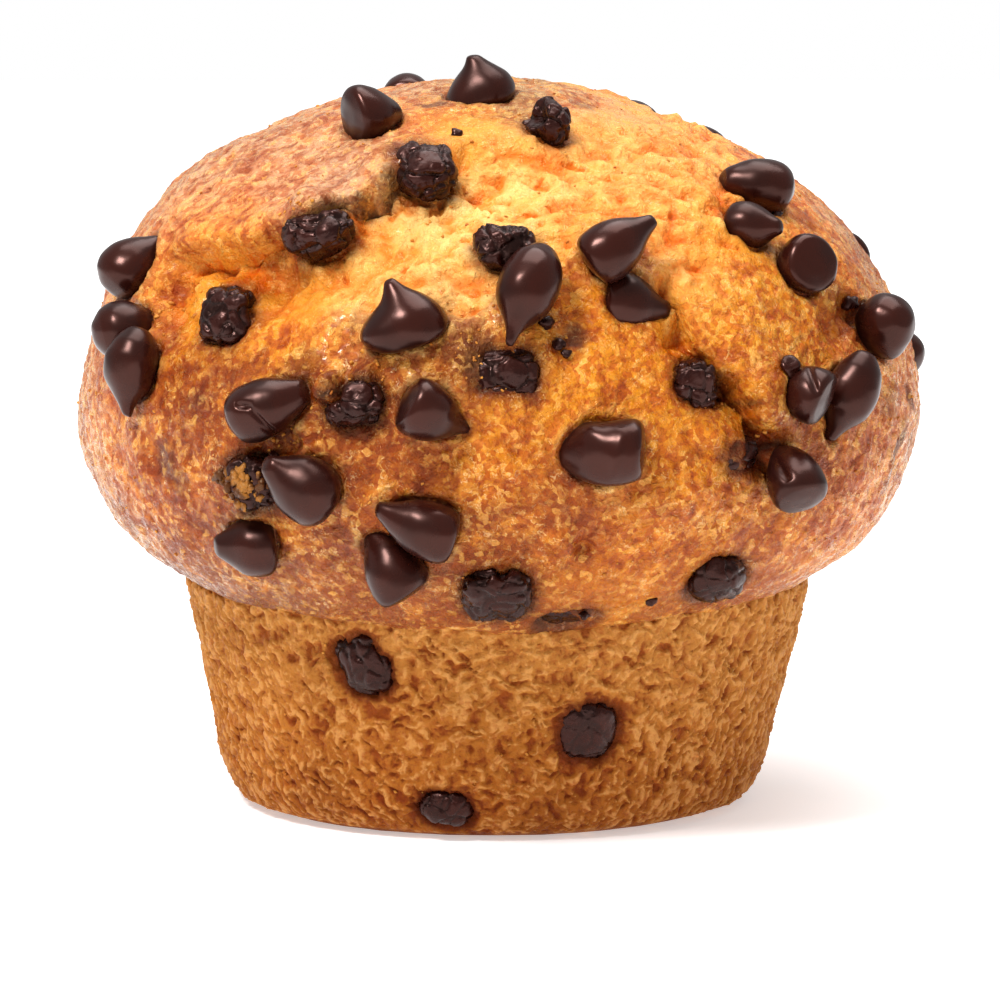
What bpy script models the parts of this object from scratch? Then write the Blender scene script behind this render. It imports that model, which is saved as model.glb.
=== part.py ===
# A chocolate chip muffin, baked without a paper case: one piece of cake with a
# wide, cracked crown over a tapered stump, and the chips that stand in it.
# Metres, +Z up. The muffin rests on its flat floor at z = 0, front towards -Y.

import math

import bmesh
import bpy
from mathutils import Matrix, Vector, noise
from mathutils.geometry import intersect_point_line

MM = 0.001                 # chips are given in millimetres

# Driving dimensions of the cake
CROWN_RADIUS = 0.0500      # at the widest level
WIDEST_LEVEL = 0.0472      # height of that level above the floor
CROWN_RISE = 0.0380        # from the widest level to the crown's top
CROWN_FULLNESS = 2.1       # exponent of the dome; 2 is an ellipse, more is squarer
LIP_DEPTH = 0.0206         # radius of the crown's underside, downwards
LIP_WIDTH = 0.0194         # radius of the crown's underside, inwards
LIP_END = -66.0            # latitude where the underside meets the stump
MOUTH_RADIUS = 0.0370      # stump where it leaves the crown
MOUTH_LEVEL = 0.0266
FLOOR_RADIUS = 0.0312      # stump wall carried down to the floor
FLOOR_ROUND = 0.0050       # rounded edge between wall and floor
STUMP_SHIFT = -0.0007      # the floor sits a little to the left of the crown
WALL_SLOPE = math.atan2(MOUTH_RADIUS - FLOOR_RADIUS, MOUTH_LEVEL)
INSIDE = Vector((0.0, 0.0, 0.03))   # a point well inside the crown

# How finely the cake is turned
SEGMENTS = 38
DOME_STEPS = 11
LIP_STEPS = 5
WALL_STEPS = 2
ROUND_STEPS = 2

# How every chip is made
CHIP_SIDES = 7
CHIP_MIDDLE = 0.36         # share of the height where the chip is held
CHIP_CURL = 0.12           # the tip hangs over by this share of the height
BOXINESS = 0.78            # exponent of a melted chip's form: 1 is round, less is boxier
LUMPINESS = 0.16           # how far its lumps stand out, as a share of its size
LUMPS_ACROSS = 1.6
POCKET_GAP = 0.00035       # clearance between a chip and the cake around it

# Radius and height along a drop, as shares of half its width and its length
DROP_PROFILE = [(0.0, 0.0), (0.80, 0.0), (1.0, 0.18), (0.88, 0.50), (0.40, 0.88), (0.0, 1.0)]

# Low swellings and dents of the crown: azimuth, latitude, spread, height
SWELLINGS = [
    (-90, 48, 30, 0.0012),
    (-90, 0, 26, -0.0009),
    (-90, -40, 20, 0.0007),
    (90, 52, 28, -0.0016),
    (90, 74, 16, -0.0013),
    (150, 20, 40, 0.0010),
    (-140, 35, 36, -0.0010),
    (-30, -10, 30, 0.0006),
    (60, 5, 26, 0.0005),
    (175, 60, 30, 0.0008),
]
KNOB_CENTRE = (0.0012, 0.0)   # small raised cap on the very top
KNOB_RADIUS = 0.0066
KNOB_HEIGHT = 0.0011
KNOB_STEEPNESS = 8

# Unevenness of the crust and of the stump's wall: lumps in a metre, height
CRUST_UNEVENNESS = [(55.0, 0.0011), (130.0, 0.0005)]
WALL_UNEVENNESS = (90.0, 0.0003)

# Splits in the crust, as azimuth and latitude along the split. On its left
# going along, the crust stands up as a ledge; on its right the crumb is sunk.
SPLITS = [
    {"route": [(-64, 29), (-46, 30), (-36, 34), (-28, 40), (-22, 46),
               (-14, 51), (-4, 58), (12, 62), (35, 70)],
     "ledge": 0.0010, "drop": 0.0030, "reach": 0.0085},
    {"route": [(30, 31), (30, 24), (30, 18), (35, 13), (39, 6), (40, -3)],
     "ledge": 0.0005, "drop": 0.0016, "reach": 0.0045},
    {"route": [(150, 8), (165, 24), (176, 36), (-172, 48), (-165, 62)],
     "ledge": 0.0007, "drop": 0.0020, "reach": 0.0075},
]
LEDGE_WIDTH = 0.005
END_SLOPE = 6.0            # a split fades out over a sixth of its length at each end
END_SHARE = 0.15           # and keeps this share of its depth there

# Chips on the crown. Where: azimuth (0 front, 90 right) and latitude. How far
# the chip's middle stands out of the crust, in mm. Where its tip points:
# heading (0 front, 90 right, 180 back, 270 left) and pitch above level. Then
# its width across the base and its length to the tip, in mm.
DROPS = [
    ("top_left", -44, 67, 1.7, 120, 8, 7.2, 7.4),
    ("top_left_back", -144, 70, -0.3, 180, 20, 6.4, 7.0),
    ("top", -20, 83, 1.5, 300, 78, 7.8, 6.2),
    ("edge_left_high", -70, 28, 0.0, 100, 48, 7.6, 7.4),
    ("edge_left_mid", -62.5, 17.4, 0.0, 95, 10, 7.4, 7.4),
    ("edge_left_low", -56, 9.6, 1.7, 300, -72, 7.0, 8.4),
    ("ridge", -13, 24, 1.5, 300, 62, 8.4, 7.6),
    ("tear", 4, 26, 2.7, 330, -48, 7.6, 10.4),
    ("pair_upper", 18, 35, 3.3, 95, 36, 7.2, 9.6),
    ("pair_lower", 21.5, 28, -1.8, 86, -2, 7.2, 7.6),
    ("shoulder_high", 59, 47, 1.0, 290, 18, 7.0, 8.4),
    ("shoulder_small", 48, 39, 0.7, 60, 8, 6.2, 6.4),
    ("shoulder_disc", 54, 30, 0.7, 212, -12, 7.4, 7.4),
    ("edge_right_disc", 65.5, 16.5, 0.8, 214, -16, 7.4, 7.4),
    ("edge_right_behind", 91, 9.5, -1.8, 190, 10, 6.4, 6.6),
    ("cluster_disc", 44.2, 9, 1.0, 250, 22, 7.2, 7.4),
    ("cluster_drop", 52.3, 5.6, 1.6, 300, -66, 6.8, 8.4),
    ("low_disc", 41, -6.5, 1.9, 204, 50, 7.2, 9.8),
    ("front_right", 14, 2, 1.0, 268, -4, 7.6, 10.2),
    ("folded", -31, 8, 1.2, 70, 24, 7.4, 9.2),
    ("front_mid", -8, 8, 1.5, 102, -28, 7.6, 9.0),
    ("front_left_big", -25.5, -6.5, 2.0, 296, 26, 8.4, 8.4),
    ("front_left_low", -36.5, -31, 0.9, 282, -6, 7.8, 7.0),
    ("front_upper", -10, -19, 1.3, 277, 18, 7.6, 9.8),
    ("front_lower", -15, -35, 1.1, 262, 56, 7.6, 9.2),
    ("back_left_high", -132, 34, 1.0, 230, 10, 7.6, 8.4),
    ("back_left_low", -117, -8, 1.2, 200, -40, 7.4, 8.6),
    ("back_top", 170, 48, 1.2, 150, 10, 7.6, 8.8),
    ("back_mid", -156, 22, 1.3, 170, -30, 8.0, 9.6),
    ("back_right_high", 142, 36, 1.0, 120, -10, 7.4, 8.2),
    ("back_right_mid", 124, 10, 1.2, 140, 50, 7.6, 8.8),
    ("back_right_low", 142, -12, 1.2, 95, -12, 7.2, 8.2),
    ("back_low", 176, -22, 1.1, 260, 10, 7.6, 8.8),
    ("side_right_low", 114, -24, 0.8, 190, -20, 7.4, 8.4),
]

# Melted chips on the crown: azimuth, latitude, how far the middle stands out
# in mm, then width, height and thickness in mm, and the roll in degrees.
MELTED = [
    ("top_broken", 17, 67, 0.5, 4.8, 6.4, 5.0, 10),
    ("ledge_lump", -16, 54, -0.6, 7.2, 8.6, 6.0, 30),
    ("ledge_wrinkled", -31, 38.5, -1.0, 9.4, 5.2, 5.4, 16),
    ("left_block", -44, 23, 0.4, 6.8, 7.2, 5.4, 15),
    ("valley_wrinkled", 1, 36.8, 0.8, 7.4, 5.8, 5.4, -6),
    ("under_tear", 1, 15, -1.7, 8.6, 6.4, 4.4, 0),
    ("split_block", 29, 12, -0.9, 5.2, 6.0, 5.0, 20),
    ("split_buried", 35, -1, -1.9, 5.6, 4.6, 4.6, 0),
    ("front_wrinkled", -19, 9, -0.4, 8.2, 5.8, 5.2, 20),
    ("crumbed", -34, -9, -0.6, 6.4, 7.2, 5.0, 20),
    ("lip_wrinkled", 0, -49, 0.0, 8.6, 9.0, 5.0, -4),
    ("lip_smear", 12, -65, -0.9, 8.0, 6.6, 3.8, 14),
    ("lip_chunk", 36, -49, -0.2, 7.8, 6.8, 5.2, -24),
    ("back_ledge", -172, 36, -0.4, 8.4, 6.8, 5.6, 10),
    ("back_left_wrinkled", -136, 4, 0.1, 7.6, 7.0, 5.4, 40),
    ("back_right_wrinkled", 154, 16, 0.2, 8.0, 6.4, 5.4, -20),
    ("back_lip", 158, -42, -0.3, 7.6, 6.2, 5.0, 0),
]

# Chips baked into the stump, nearly flush: azimuth, height of the middle in
# mm, width, height and thickness in mm, roll in degrees.
SUNK = [
    ("wall_left", -26, 20.8, 7.4, 9.0, 5.4, 30),
    ("wall_right", 19, 13.1, 8.2, 8.6, 5.4, 0),
    ("floor_edge", -10, 3.9, 7.0, 4.8, 4.8, 0),
    ("wall_side_right", 104, 9.5, 7.0, 6.4, 5.0, 12),
    ("wall_side_left", -102, 14.5, 6.6, 7.4, 5.0, 70),
    ("wall_back_right", 140, 18.0, 7.4, 6.4, 5.0, -15),
    ("wall_back_left", -158, 9.0, 7.0, 7.4, 5.0, 20),
]
SUNK_DEPTH = 0.0019        # how far the middle of a sunk chip lies behind the wall

BROWNED_CRUST = {"colour": (0.56, 0.25, 0.055), "roughness": 0.55}
CHOCOLATE = {"colour": (0.052, 0.020, 0.014), "roughness": 0.35}
MELTED_CHOCOLATE = {"colour": (0.045, 0.017, 0.013), "roughness": 0.55}


def clear_scene():
    for found in list(bpy.data.objects):
        bpy.data.objects.remove(found, do_unlink=True)


def make_material(name, look):
    material = bpy.data.materials.new(name)
    material.use_nodes = True
    shader = material.node_tree.nodes["Principled BSDF"]
    shader.inputs["Base Color"].default_value = (*look["colour"], 1.0)
    shader.inputs["Roughness"].default_value = look["roughness"]
    shader.inputs["Metallic"].default_value = 0.0
    return material


# The cake's surface

def dome_profile(latitude):
    """Radius and height of the plain crown at a latitude in degrees."""
    angle = math.radians(latitude)
    if latitude < 0:
        radius = CROWN_RADIUS - LIP_WIDTH + LIP_WIDTH * math.cos(angle)
        return radius, WIDEST_LEVEL + LIP_DEPTH * math.sin(angle)
    power = 2.0 / CROWN_FULLNESS
    radius = CROWN_RADIUS * max(math.cos(angle), 0.0) ** power
    return radius, WIDEST_LEVEL + CROWN_RISE * math.sin(angle) ** power


def turned(azimuth, radius, height):
    """The point at an azimuth in degrees, a radius and a height."""
    angle = math.radians(azimuth)
    return Vector((radius * math.sin(angle), -radius * math.cos(angle), height))


def plain_crown(azimuth, latitude):
    return turned(azimuth, *dome_profile(latitude))


def latitude_of(point):
    """Latitude in degrees of a point on or near the plain crown."""
    radius = math.hypot(point.x, point.y)
    rise = point.z - WIDEST_LEVEL
    if rise < 0:
        return math.degrees(math.atan2(rise / LIP_DEPTH, (radius - CROWN_RADIUS + LIP_WIDTH) / LIP_WIDTH))
    half = CROWN_FULLNESS / 2.0
    return math.degrees(math.atan2((rise / CROWN_RISE) ** half, (radius / CROWN_RADIUS) ** half))


def outward(azimuth, latitude):
    """Unit normal of the plain crown."""
    step = 1.0
    along = plain_crown(azimuth + step, latitude) - plain_crown(azimuth - step, latitude)
    up = plain_crown(azimuth, latitude + step) - plain_crown(azimuth, latitude - step)
    if latitude + step > 90.0:
        up = plain_crown(azimuth, 90.0) - plain_crown(azimuth, latitude - step)
    return along.cross(up).normalized()


def swelling(point):
    """How far the crown swells at a point of the plain crown."""
    total = 0.0
    here = (point - Vector((0.0, 0.0, WIDEST_LEVEL))).normalized()
    for azimuth, latitude, spread, height in SWELLINGS:
        there = (plain_crown(azimuth, latitude) - Vector((0.0, 0.0, WIDEST_LEVEL))).normalized()
        total += height * math.exp(-((math.degrees(here.angle(there)) / spread) ** 2))
    away = math.hypot(point.x - KNOB_CENTRE[0], point.y - KNOB_CENTRE[1])
    if point.z > WIDEST_LEVEL:
        total += KNOB_HEIGHT / (1.0 + (away / KNOB_RADIUS) ** KNOB_STEEPNESS)
    return total


def split_relief(point):
    """How far a split lifts (ledge) or sinks (open crumb) the crust."""
    total = 0.0
    for split in SPLITS:
        route = [plain_crown(*stop) for stop in split["route"]]
        nearest, side, end_fade = None, 0.0, 1.0
        for index in range(len(route) - 1):
            start, end = route[index], route[index + 1]
            foot, share = intersect_point_line(point, start, end)
            share = min(max(share, 0.0), 1.0)
            foot = start.lerp(end, share)
            gap = (point - foot).length
            if nearest is None or gap < nearest:
                nearest = gap
                side = (end - start).cross(point - foot).dot(point - INSIDE)
                done = (index + share) / (len(route) - 1)
                end_fade = min(1.0, END_SHARE + END_SLOPE * min(done, 1.0 - done))
        if side > 0:
            total += split["ledge"] * end_fade * math.exp(-((nearest / LEDGE_WIDTH) ** 2))
        else:
            total -= split["drop"] * end_fade * math.exp(-((nearest / split["reach"]) ** 2))
    return total


def uneven(point):
    """Small unevenness, the same each time."""
    return sum(height * noise.noise(point * pitch) for pitch, height in CRUST_UNEVENNESS)


def crown_point(azimuth, latitude):
    """The finished crust at an azimuth and latitude."""
    plain = plain_crown(azimuth, latitude)
    return plain + outward(azimuth, latitude) * (swelling(plain) + split_relief(plain) + uneven(plain))


def wall_radius(height):
    return FLOOR_RADIUS + (MOUTH_RADIUS - FLOOR_RADIUS) * height / MOUTH_LEVEL


def wall_point(azimuth, height):
    point = turned(azimuth, wall_radius(height), height)
    point.x += STUMP_SHIFT * (1.0 - height / MOUTH_LEVEL)
    return point


# The cake

def cake_profile():
    """Radius and height from the floor's middle, up the outside, to the top."""
    centre = FLOOR_RADIUS - FLOOR_ROUND / math.cos(WALL_SLOPE) + FLOOR_ROUND * math.tan(WALL_SLOPE)
    points = [(0.0, 0.0), (centre * 0.5, 0.0)]
    for step in range(ROUND_STEPS + 1):
        angle = math.radians(-90.0) + (math.radians(90.0) - WALL_SLOPE) * step / ROUND_STEPS
        points.append((centre + FLOOR_ROUND * math.cos(angle), FLOOR_ROUND * (1.0 + math.sin(angle))))
    lowest = points[-1][1]
    for step in range(1, WALL_STEPS + 1):
        height = lowest + (MOUTH_LEVEL - lowest) * step / WALL_STEPS
        points.append((wall_radius(height), height))
    for step in range(LIP_STEPS + 1):
        points.append(dome_profile(LIP_END * (1.0 - step / LIP_STEPS)))
    for step in range(1, DOME_STEPS + 1):
        points.append(dome_profile(90.0 * step / DOME_STEPS))
    return points


def turn_profile(points, sides):
    """A closed turned mesh around Z from a list of radius and height."""
    shape = bmesh.new()
    verts = [shape.verts.new((0.0, -radius, height)) for radius, height in points]
    edges = [shape.edges.new(pair) for pair in zip(verts, verts[1:])]
    bmesh.ops.spin(shape, geom=verts + edges, cent=(0, 0, 0), axis=(0, 0, 1),
                   steps=sides, angle=math.tau, use_merge=True)
    bmesh.ops.remove_doubles(shape, verts=shape.verts, dist=1e-6)
    bmesh.ops.recalc_face_normals(shape, faces=shape.faces)
    return shape


def shape_cake(shape):
    """Gives the turned cake its swellings, splits and unevenness."""
    for vert in shape.verts:
        point = vert.co.copy()
        azimuth = math.degrees(math.atan2(point.x, -point.y))
        if point.z > MOUTH_LEVEL + 0.0005:
            if math.hypot(point.x, point.y) < 1e-5:
                azimuth = 0.0
            vert.co = crown_point(azimuth, min(latitude_of(point), 90.0))
        elif point.z > FLOOR_ROUND * 0.1:
            vert.co.x += STUMP_SHIFT * (1.0 - point.z / MOUTH_LEVEL)
            pitch, height = WALL_UNEVENNESS
            vert.co += point.normalized() * noise.noise(point * pitch) * height
        else:
            vert.co.x += STUMP_SHIFT


def add_object(name, shape, material):
    mesh = bpy.data.meshes.new(name)
    shape.to_mesh(mesh)
    shape.free()
    mesh.materials.append(material)
    made = bpy.data.objects.new(name, mesh)
    bpy.context.scene.collection.objects.link(made)
    for face in mesh.polygons:
        face.use_smooth = True
    mesh.set_sharp_from_angle(angle=math.radians(50.0))
    return made


def make_cake(material):
    shape = turn_profile(cake_profile(), SEGMENTS)
    shape_cake(shape)
    return add_object("muffin", shape, material)


# The chips

def drop_shape(width, length):
    """A pressed drop of chocolate: flat base, round body, tip hanging over."""
    radius, height = width * 0.5 * MM, length * MM
    shape = turn_profile([(r * radius, z * height) for r, z in DROP_PROFILE], CHIP_SIDES)
    for vert in shape.verts:
        vert.co.x += CHIP_CURL * height * (vert.co.z / height) ** 3
        vert.co.z -= CHIP_MIDDLE * height
    return shape


def melted_shape(size_mm, seed):
    """A chip that slumped while baking: a lumpy, slightly boxy blob."""
    shape = bmesh.new()
    bmesh.ops.create_icosphere(shape, subdivisions=2, radius=1.0)
    half = Vector(size_mm) * 0.5 * MM
    for vert in shape.verts:
        boxy = Vector([math.copysign(abs(value) ** BOXINESS, value) for value in vert.co])
        place_in_noise = vert.co * LUMPS_ACROSS + Vector((seed * 7.3, seed * 1.9, seed * 4.1))
        lump = 1.0 + LUMPINESS * noise.noise(place_in_noise)
        vert.co = Vector([value * extent * lump for value, extent in zip(boxy, half)])
    return shape


def frame_on(normal, roll):
    """Axes on a surface: X sideways, Y up along it, Z outwards, then rolled."""
    side = Vector((0, 0, 1)).cross(normal).normalized()
    up = normal.cross(side)
    axes = Matrix((side, up, normal)).transposed().to_4x4()
    return axes @ Matrix.Rotation(math.radians(roll), 4, "Z")


def tip_turn(heading, pitch, normal):
    """Turns +Z to the tip's direction, with the curl towards the crust."""
    turn, rise = math.radians(heading), math.radians(pitch)
    tip = Vector((math.cos(rise) * math.sin(turn), -math.cos(rise) * math.cos(turn), math.sin(rise)))
    inwards = (tip * tip.dot(normal) - normal).normalized()
    across = tip.cross(inwards)
    return Matrix((inwards, across, tip)).transposed().to_4x4()


def place(shape, centre, turn):
    bmesh.ops.transform(shape, matrix=Matrix.Translation(centre) @ turn, verts=shape.verts)


def make_drops(material):
    drops = []
    for name, azimuth, latitude, stands_out, heading, pitch, width, length in DROPS:
        normal = outward(azimuth, latitude)
        centre = crown_point(azimuth, latitude) + normal * stands_out * MM
        shape = drop_shape(width, length)
        place(shape, centre, tip_turn(heading, pitch, normal))
        drops.append(add_object("chip_drop_" + name, shape, material))
    return drops


def make_melted_chips(material):
    chips = []
    for seed, (name, azimuth, latitude, stands_out, width, height, thickness, roll) in enumerate(MELTED):
        normal = outward(azimuth, latitude)
        centre = crown_point(azimuth, latitude) + normal * stands_out * MM
        shape = melted_shape((width, height, thickness), seed + 1)
        place(shape, centre, frame_on(normal, roll))
        chips.append(add_object("chip_melted_" + name, shape, material))
    return chips


def make_sunk_chips(material):
    chips = []
    for seed, (name, azimuth, level, width, height, thickness, roll) in enumerate(SUNK):
        normal = turned(azimuth, 1.0, -math.tan(WALL_SLOPE)).normalized()
        shape = melted_shape((width, height, thickness), seed + 31)
        place(shape, wall_point(azimuth, level * MM) - normal * SUNK_DEPTH, frame_on(normal, roll))
        chips.append(add_object("chip_sunk_" + name, shape, material))
    return chips


def cut_pockets(cake, chips):
    """Cuts a close pocket into the cake for each chip."""
    cutter = bmesh.new()
    for chip in chips:
        swollen = bmesh.new()
        swollen.from_mesh(chip.data)
        swollen.normal_update()
        for vert in swollen.verts:
            vert.co += vert.normal * POCKET_GAP
        grown = bpy.data.meshes.new("grown_chip")
        swollen.to_mesh(grown)
        swollen.free()
        cutter.from_mesh(grown)
        bpy.data.meshes.remove(grown)
    tool = add_object("pocket_cutter", cutter, cake.data.materials[0])
    tool.hide_render = True
    tool.display_type = "WIRE"
    pockets = cake.modifiers.new("pockets", "BOOLEAN")
    pockets.operation = "DIFFERENCE"
    pockets.solver = "EXACT"
    pockets.use_self = True
    pockets.object = tool


def centre_on_origin(solids):
    """Moves everything so that the muffin's box stands over the origin."""
    corners = [vert.co for solid in solids for vert in solid.data.vertices]
    middle_x = (min(c.x for c in corners) + max(c.x for c in corners)) / 2.0
    middle_y = (min(c.y for c in corners) + max(c.y for c in corners)) / 2.0
    for solid in solids:
        solid.data.transform(Matrix.Translation((-middle_x, -middle_y, 0.0)))


def main():
    clear_scene()
    cake = make_cake(make_material("browned_crust", BROWNED_CRUST))
    melted_chocolate = make_material("melted_chocolate", MELTED_CHOCOLATE)
    chips = make_drops(make_material("chocolate", CHOCOLATE))
    chips += make_melted_chips(melted_chocolate)
    chips += make_sunk_chips(melted_chocolate)
    centre_on_origin([cake, *chips])
    cut_pockets(cake, chips)


main()
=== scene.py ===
# Looks of a chocolate chip muffin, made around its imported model.
# Metres, +Z up; the front of the muffin looks towards -Y.
import math
import random

import bmesh
import bpy
import numpy as np
from mathutils import Matrix, Vector, noise
from mathutils.bvhtree import BVHTree


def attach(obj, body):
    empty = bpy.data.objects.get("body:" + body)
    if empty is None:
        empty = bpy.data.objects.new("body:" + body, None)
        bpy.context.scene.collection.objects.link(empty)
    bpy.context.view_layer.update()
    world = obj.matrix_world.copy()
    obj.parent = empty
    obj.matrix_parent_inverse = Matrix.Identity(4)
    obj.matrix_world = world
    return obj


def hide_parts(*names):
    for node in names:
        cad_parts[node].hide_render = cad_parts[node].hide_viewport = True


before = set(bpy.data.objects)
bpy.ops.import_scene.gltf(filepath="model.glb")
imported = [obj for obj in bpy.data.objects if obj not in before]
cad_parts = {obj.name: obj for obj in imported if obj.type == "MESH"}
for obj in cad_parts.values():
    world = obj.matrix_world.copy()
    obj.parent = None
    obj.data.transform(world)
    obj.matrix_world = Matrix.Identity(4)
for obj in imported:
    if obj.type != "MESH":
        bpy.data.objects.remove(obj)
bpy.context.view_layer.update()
print("frame loaded")

mm = 0.001


def editMode():
    bpy.ops.object.mode_set(mode="EDIT")


def objectMode():
    bpy.ops.object.mode_set(mode="OBJECT")


def selectWhole():
    bpy.ops.mesh.select_all(action="SELECT")


def deselectAll():
    bpy.ops.object.select_all(action="DESELECT")


def pick(obj):
    deselectAll()
    obj.select_set(True)
    bpy.context.view_layer.objects.active = obj


def addAndApply(obj, kind, **settings):
    pick(obj)
    modifier = obj.modifiers.new(kind.lower(), kind)
    for setting, value in settings.items():
        setattr(modifier, setting, value)
    bpy.ops.object.modifier_apply(modifier=modifier.name)


def subdivideSmoothly(obj, levels):
    addAndApply(obj, "SUBSURF", levels=levels, render_levels=levels)


def startSelecting(obj, kind):
    # edit mode's own selection is cleared, so that the script can select afterwards
    pick(obj)
    editMode()
    bpy.ops.mesh.select_mode(type=kind)
    bpy.ops.mesh.select_all(action="DESELECT")
    objectMode()


def copyOfNode(nodeName, pieceName):
    piece = bpy.data.objects.new(pieceName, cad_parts[nodeName].data.copy())
    piece.data.name = pieceName
    piece.data.materials.clear()
    bpy.context.scene.collection.objects.link(piece)
    pick(piece)
    editMode()
    selectWhole()
    bpy.ops.mesh.remove_doubles(threshold=0.001 * mm)
    objectMode()
    return piece


def joinAll(pieces, name):
    deselectAll()
    for piece in pieces:
        piece.select_set(True)
    bpy.context.view_layer.objects.active = pieces[0]
    bpy.ops.object.join()
    pieces[0].name = pieces[0].data.name = name
    return pieces[0]


def finishPiece(piece, material, slot, *nodes):
    piece.data.materials.clear()
    piece.data.materials.append(material)
    pick(piece)
    bpy.ops.object.shade_smooth()
    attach(piece, "root")
    if nodes:
        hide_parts(*nodes)


def readPoints(obj, field="co"):
    values = np.empty(len(obj.data.vertices) * 3, np.float32)
    if field == "normal":
        obj.data.vertex_normals.foreach_get("vector", values)
    else:
        obj.data.vertices.foreach_get(field, values)
    return values.reshape(-1, 3).astype(float)


def readSurface(obj):
    return readPoints(obj), readPoints(obj, "normal")


def middleOf(points):
    return (points.min(0) + points.max(0)) / 2.0


def writePoints(obj, points):
    obj.data.vertices.foreach_set("co", points.astype(np.float32).ravel())
    obj.data.update()


def writeValues(obj, name, values):
    attribute = obj.data.attributes.new(name, "FLOAT", "POINT")
    attribute.data.foreach_set("value", values.astype(np.float32))


def writeColour(obj, name, colour):
    layer = obj.data.color_attributes.new(name, "FLOAT_COLOR", "POINT")
    opaque = np.hstack([colour, np.ones((len(colour), 1))])
    layer.data.foreach_set("color", opaque.astype(np.float32).ravel())


def smoothStep(low, high, value):
    share = np.clip((value - low) / (high - low), 0.0, 1.0)
    return share * share * (3.0 - 2.0 * share)


def bell(value, width, power=2):
    # 1 at zero, falling away on both sides over the given width
    return np.exp(-(value / width) ** power)


def shiftOf(seed):
    # each seed reads the noise at another place
    return Vector((seed * 3.1, seed * 7.7, seed * 1.3))


def lumps(points, size, seed=0.0, octaves=2):
    # soft noise between about -1 and 1, with lumps of the given size in mm
    shift = shiftOf(seed)
    return np.array([noise.fractal(Vector(p) + shift, 1.0, 2.0, octaves) for p in points / (size * mm)])


def lumpVectors(points, size, seed=0.0, octaves=2):
    return np.stack([lumps(points, size, seed + turn * 17, octaves) for turn in range(3)], 1)


def cells(points, size, seed=0.0):
    # distances to the nearest and the second nearest of scattered points, as shares of size
    shift = shiftOf(seed)
    found = [noise.voronoi(Vector(p) + shift)[0] for p in points / (size * mm)]
    return np.array([near[0] for near in found]), np.array([near[1] for near in found])


def hexColour(code):
    parts = [int(code[i:i + 2], 16) / 255.0 for i in (0, 2, 4)]
    return np.array([p / 12.92 if p <= 0.04045 else ((p + 0.055) / 1.055) ** 2.4 for p in parts])


def rgb(code):
    return (*hexColour(code), 1.0)


# Places on the muffin are told by azimuth (0 front, 90 right) and latitude
# (0 at the widest level) on the crown, or by azimuth and height on the stump.
floorPoints = np.array([v.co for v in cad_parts["muffin"].data.vertices if v.co.z < 0.01 * mm])
floorMiddle = middleOf(floorPoints)
crown = {
    "middle": Vector((floorMiddle[0] + 0.7 * mm, floorMiddle[1], 47.2 * mm)),
    "radius": 50.0 * mm,
    "rise": 38.0 * mm,
    "fullness": 2.1,
    "lipDepth": 20.6 * mm,
    "lipWidth": 19.4 * mm,
    "lipLevels": (37.0, 31.0),   # the skin turns into the lip's between these heights, in mm
}
stump = {"floorRadius": 31.2, "mouthRadius": 37.0, "middleRadius": 36.0, "mouthLevel": 26.6, "shift": -0.7}


def crownPoint(azimuth, latitude):
    turn, tilt = math.radians(azimuth), math.radians(latitude)
    if latitude < 0:
        reach = crown["radius"] + crown["lipWidth"] * (math.cos(tilt) - 1.0)
        rise = crown["lipDepth"] * math.sin(tilt)
    else:
        power = 2.0 / crown["fullness"]
        reach = crown["radius"] * max(math.cos(tilt), 0.0) ** power
        rise = crown["rise"] * math.sin(tilt) ** power
    return crown["middle"] + Vector((reach * math.sin(turn), -reach * math.cos(turn), rise))


def stumpPoint(azimuth, height):
    turn, share = math.radians(azimuth), height / stump["mouthLevel"]
    reach = (stump["floorRadius"] + (stump["mouthRadius"] - stump["floorRadius"]) * share) * mm
    x = crown["middle"].x + stump["shift"] * mm * (1.0 - share)
    return Vector((x + reach * math.sin(turn), crown["middle"].y - reach * math.cos(turn), height * mm))


def spotDistance(points, place, azimuth, level):
    return np.linalg.norm(points - np.array(place(azimuth, level)), axis=1) / mm


def newMaterial(name):
    material = bpy.data.materials.new(name)
    material.use_nodes = True
    material.node_tree.nodes.clear()
    return material


def addNode(material, kind, settings=None, **inputs):
    made = material.node_tree.nodes.new("ShaderNode" + kind)
    for setting, value in (settings or {}).items():
        setattr(made, setting, value)
    for socket, value in inputs.items():
        setSocket(material, made.inputs[socket.replace("_", " ")], value)
    return made


def setSocket(material, socket, value):
    if isinstance(value, bpy.types.NodeSocket):
        material.node_tree.links.new(value, socket)
    else:
        socket.default_value = value


def objectPlace(material):
    return addNode(material, "TexCoord").outputs["Object"]


def noiseAt(material, where, size, detail=3.0, distortion=0.0, roughness=0.5):
    # soft noise with lumps of the given size in mm
    made = addNode(material, "TexNoise", Vector=where, Scale=1.0 / (size * mm), Detail=detail,
                   Roughness=roughness, Distortion=distortion)
    return made.outputs["Fac"]


def remap(material, value, low, high, newLow=0.0, newHigh=1.0):
    made = addNode(material, "MapRange", {"interpolation_type": "SMOOTHSTEP"})
    for socket, number in zip(("Value", "From Min", "From Max", "To Min", "To Max"),
                              (value, low, high, newLow, newHigh)):
        setSocket(material, made.inputs[socket], number)
    return made.outputs["Result"]


def calculate(material, kind, first, second=0.0):
    made = addNode(material, "Math", {"operation": kind})
    setSocket(material, made.inputs[0], first)
    setSocket(material, made.inputs[1], second)
    return made.outputs[0]


def times(material, first, second):
    return calculate(material, "MULTIPLY", first, second)


def blend(material, share, first, second, kind="MIX"):
    made = addNode(material, "Mix", {"data_type": "RGBA", "blend_type": kind})
    setSocket(material, made.inputs[0], share)
    setSocket(material, made.inputs[6], first)
    setSocket(material, made.inputs[7], second)
    return made.outputs[2]


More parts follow.
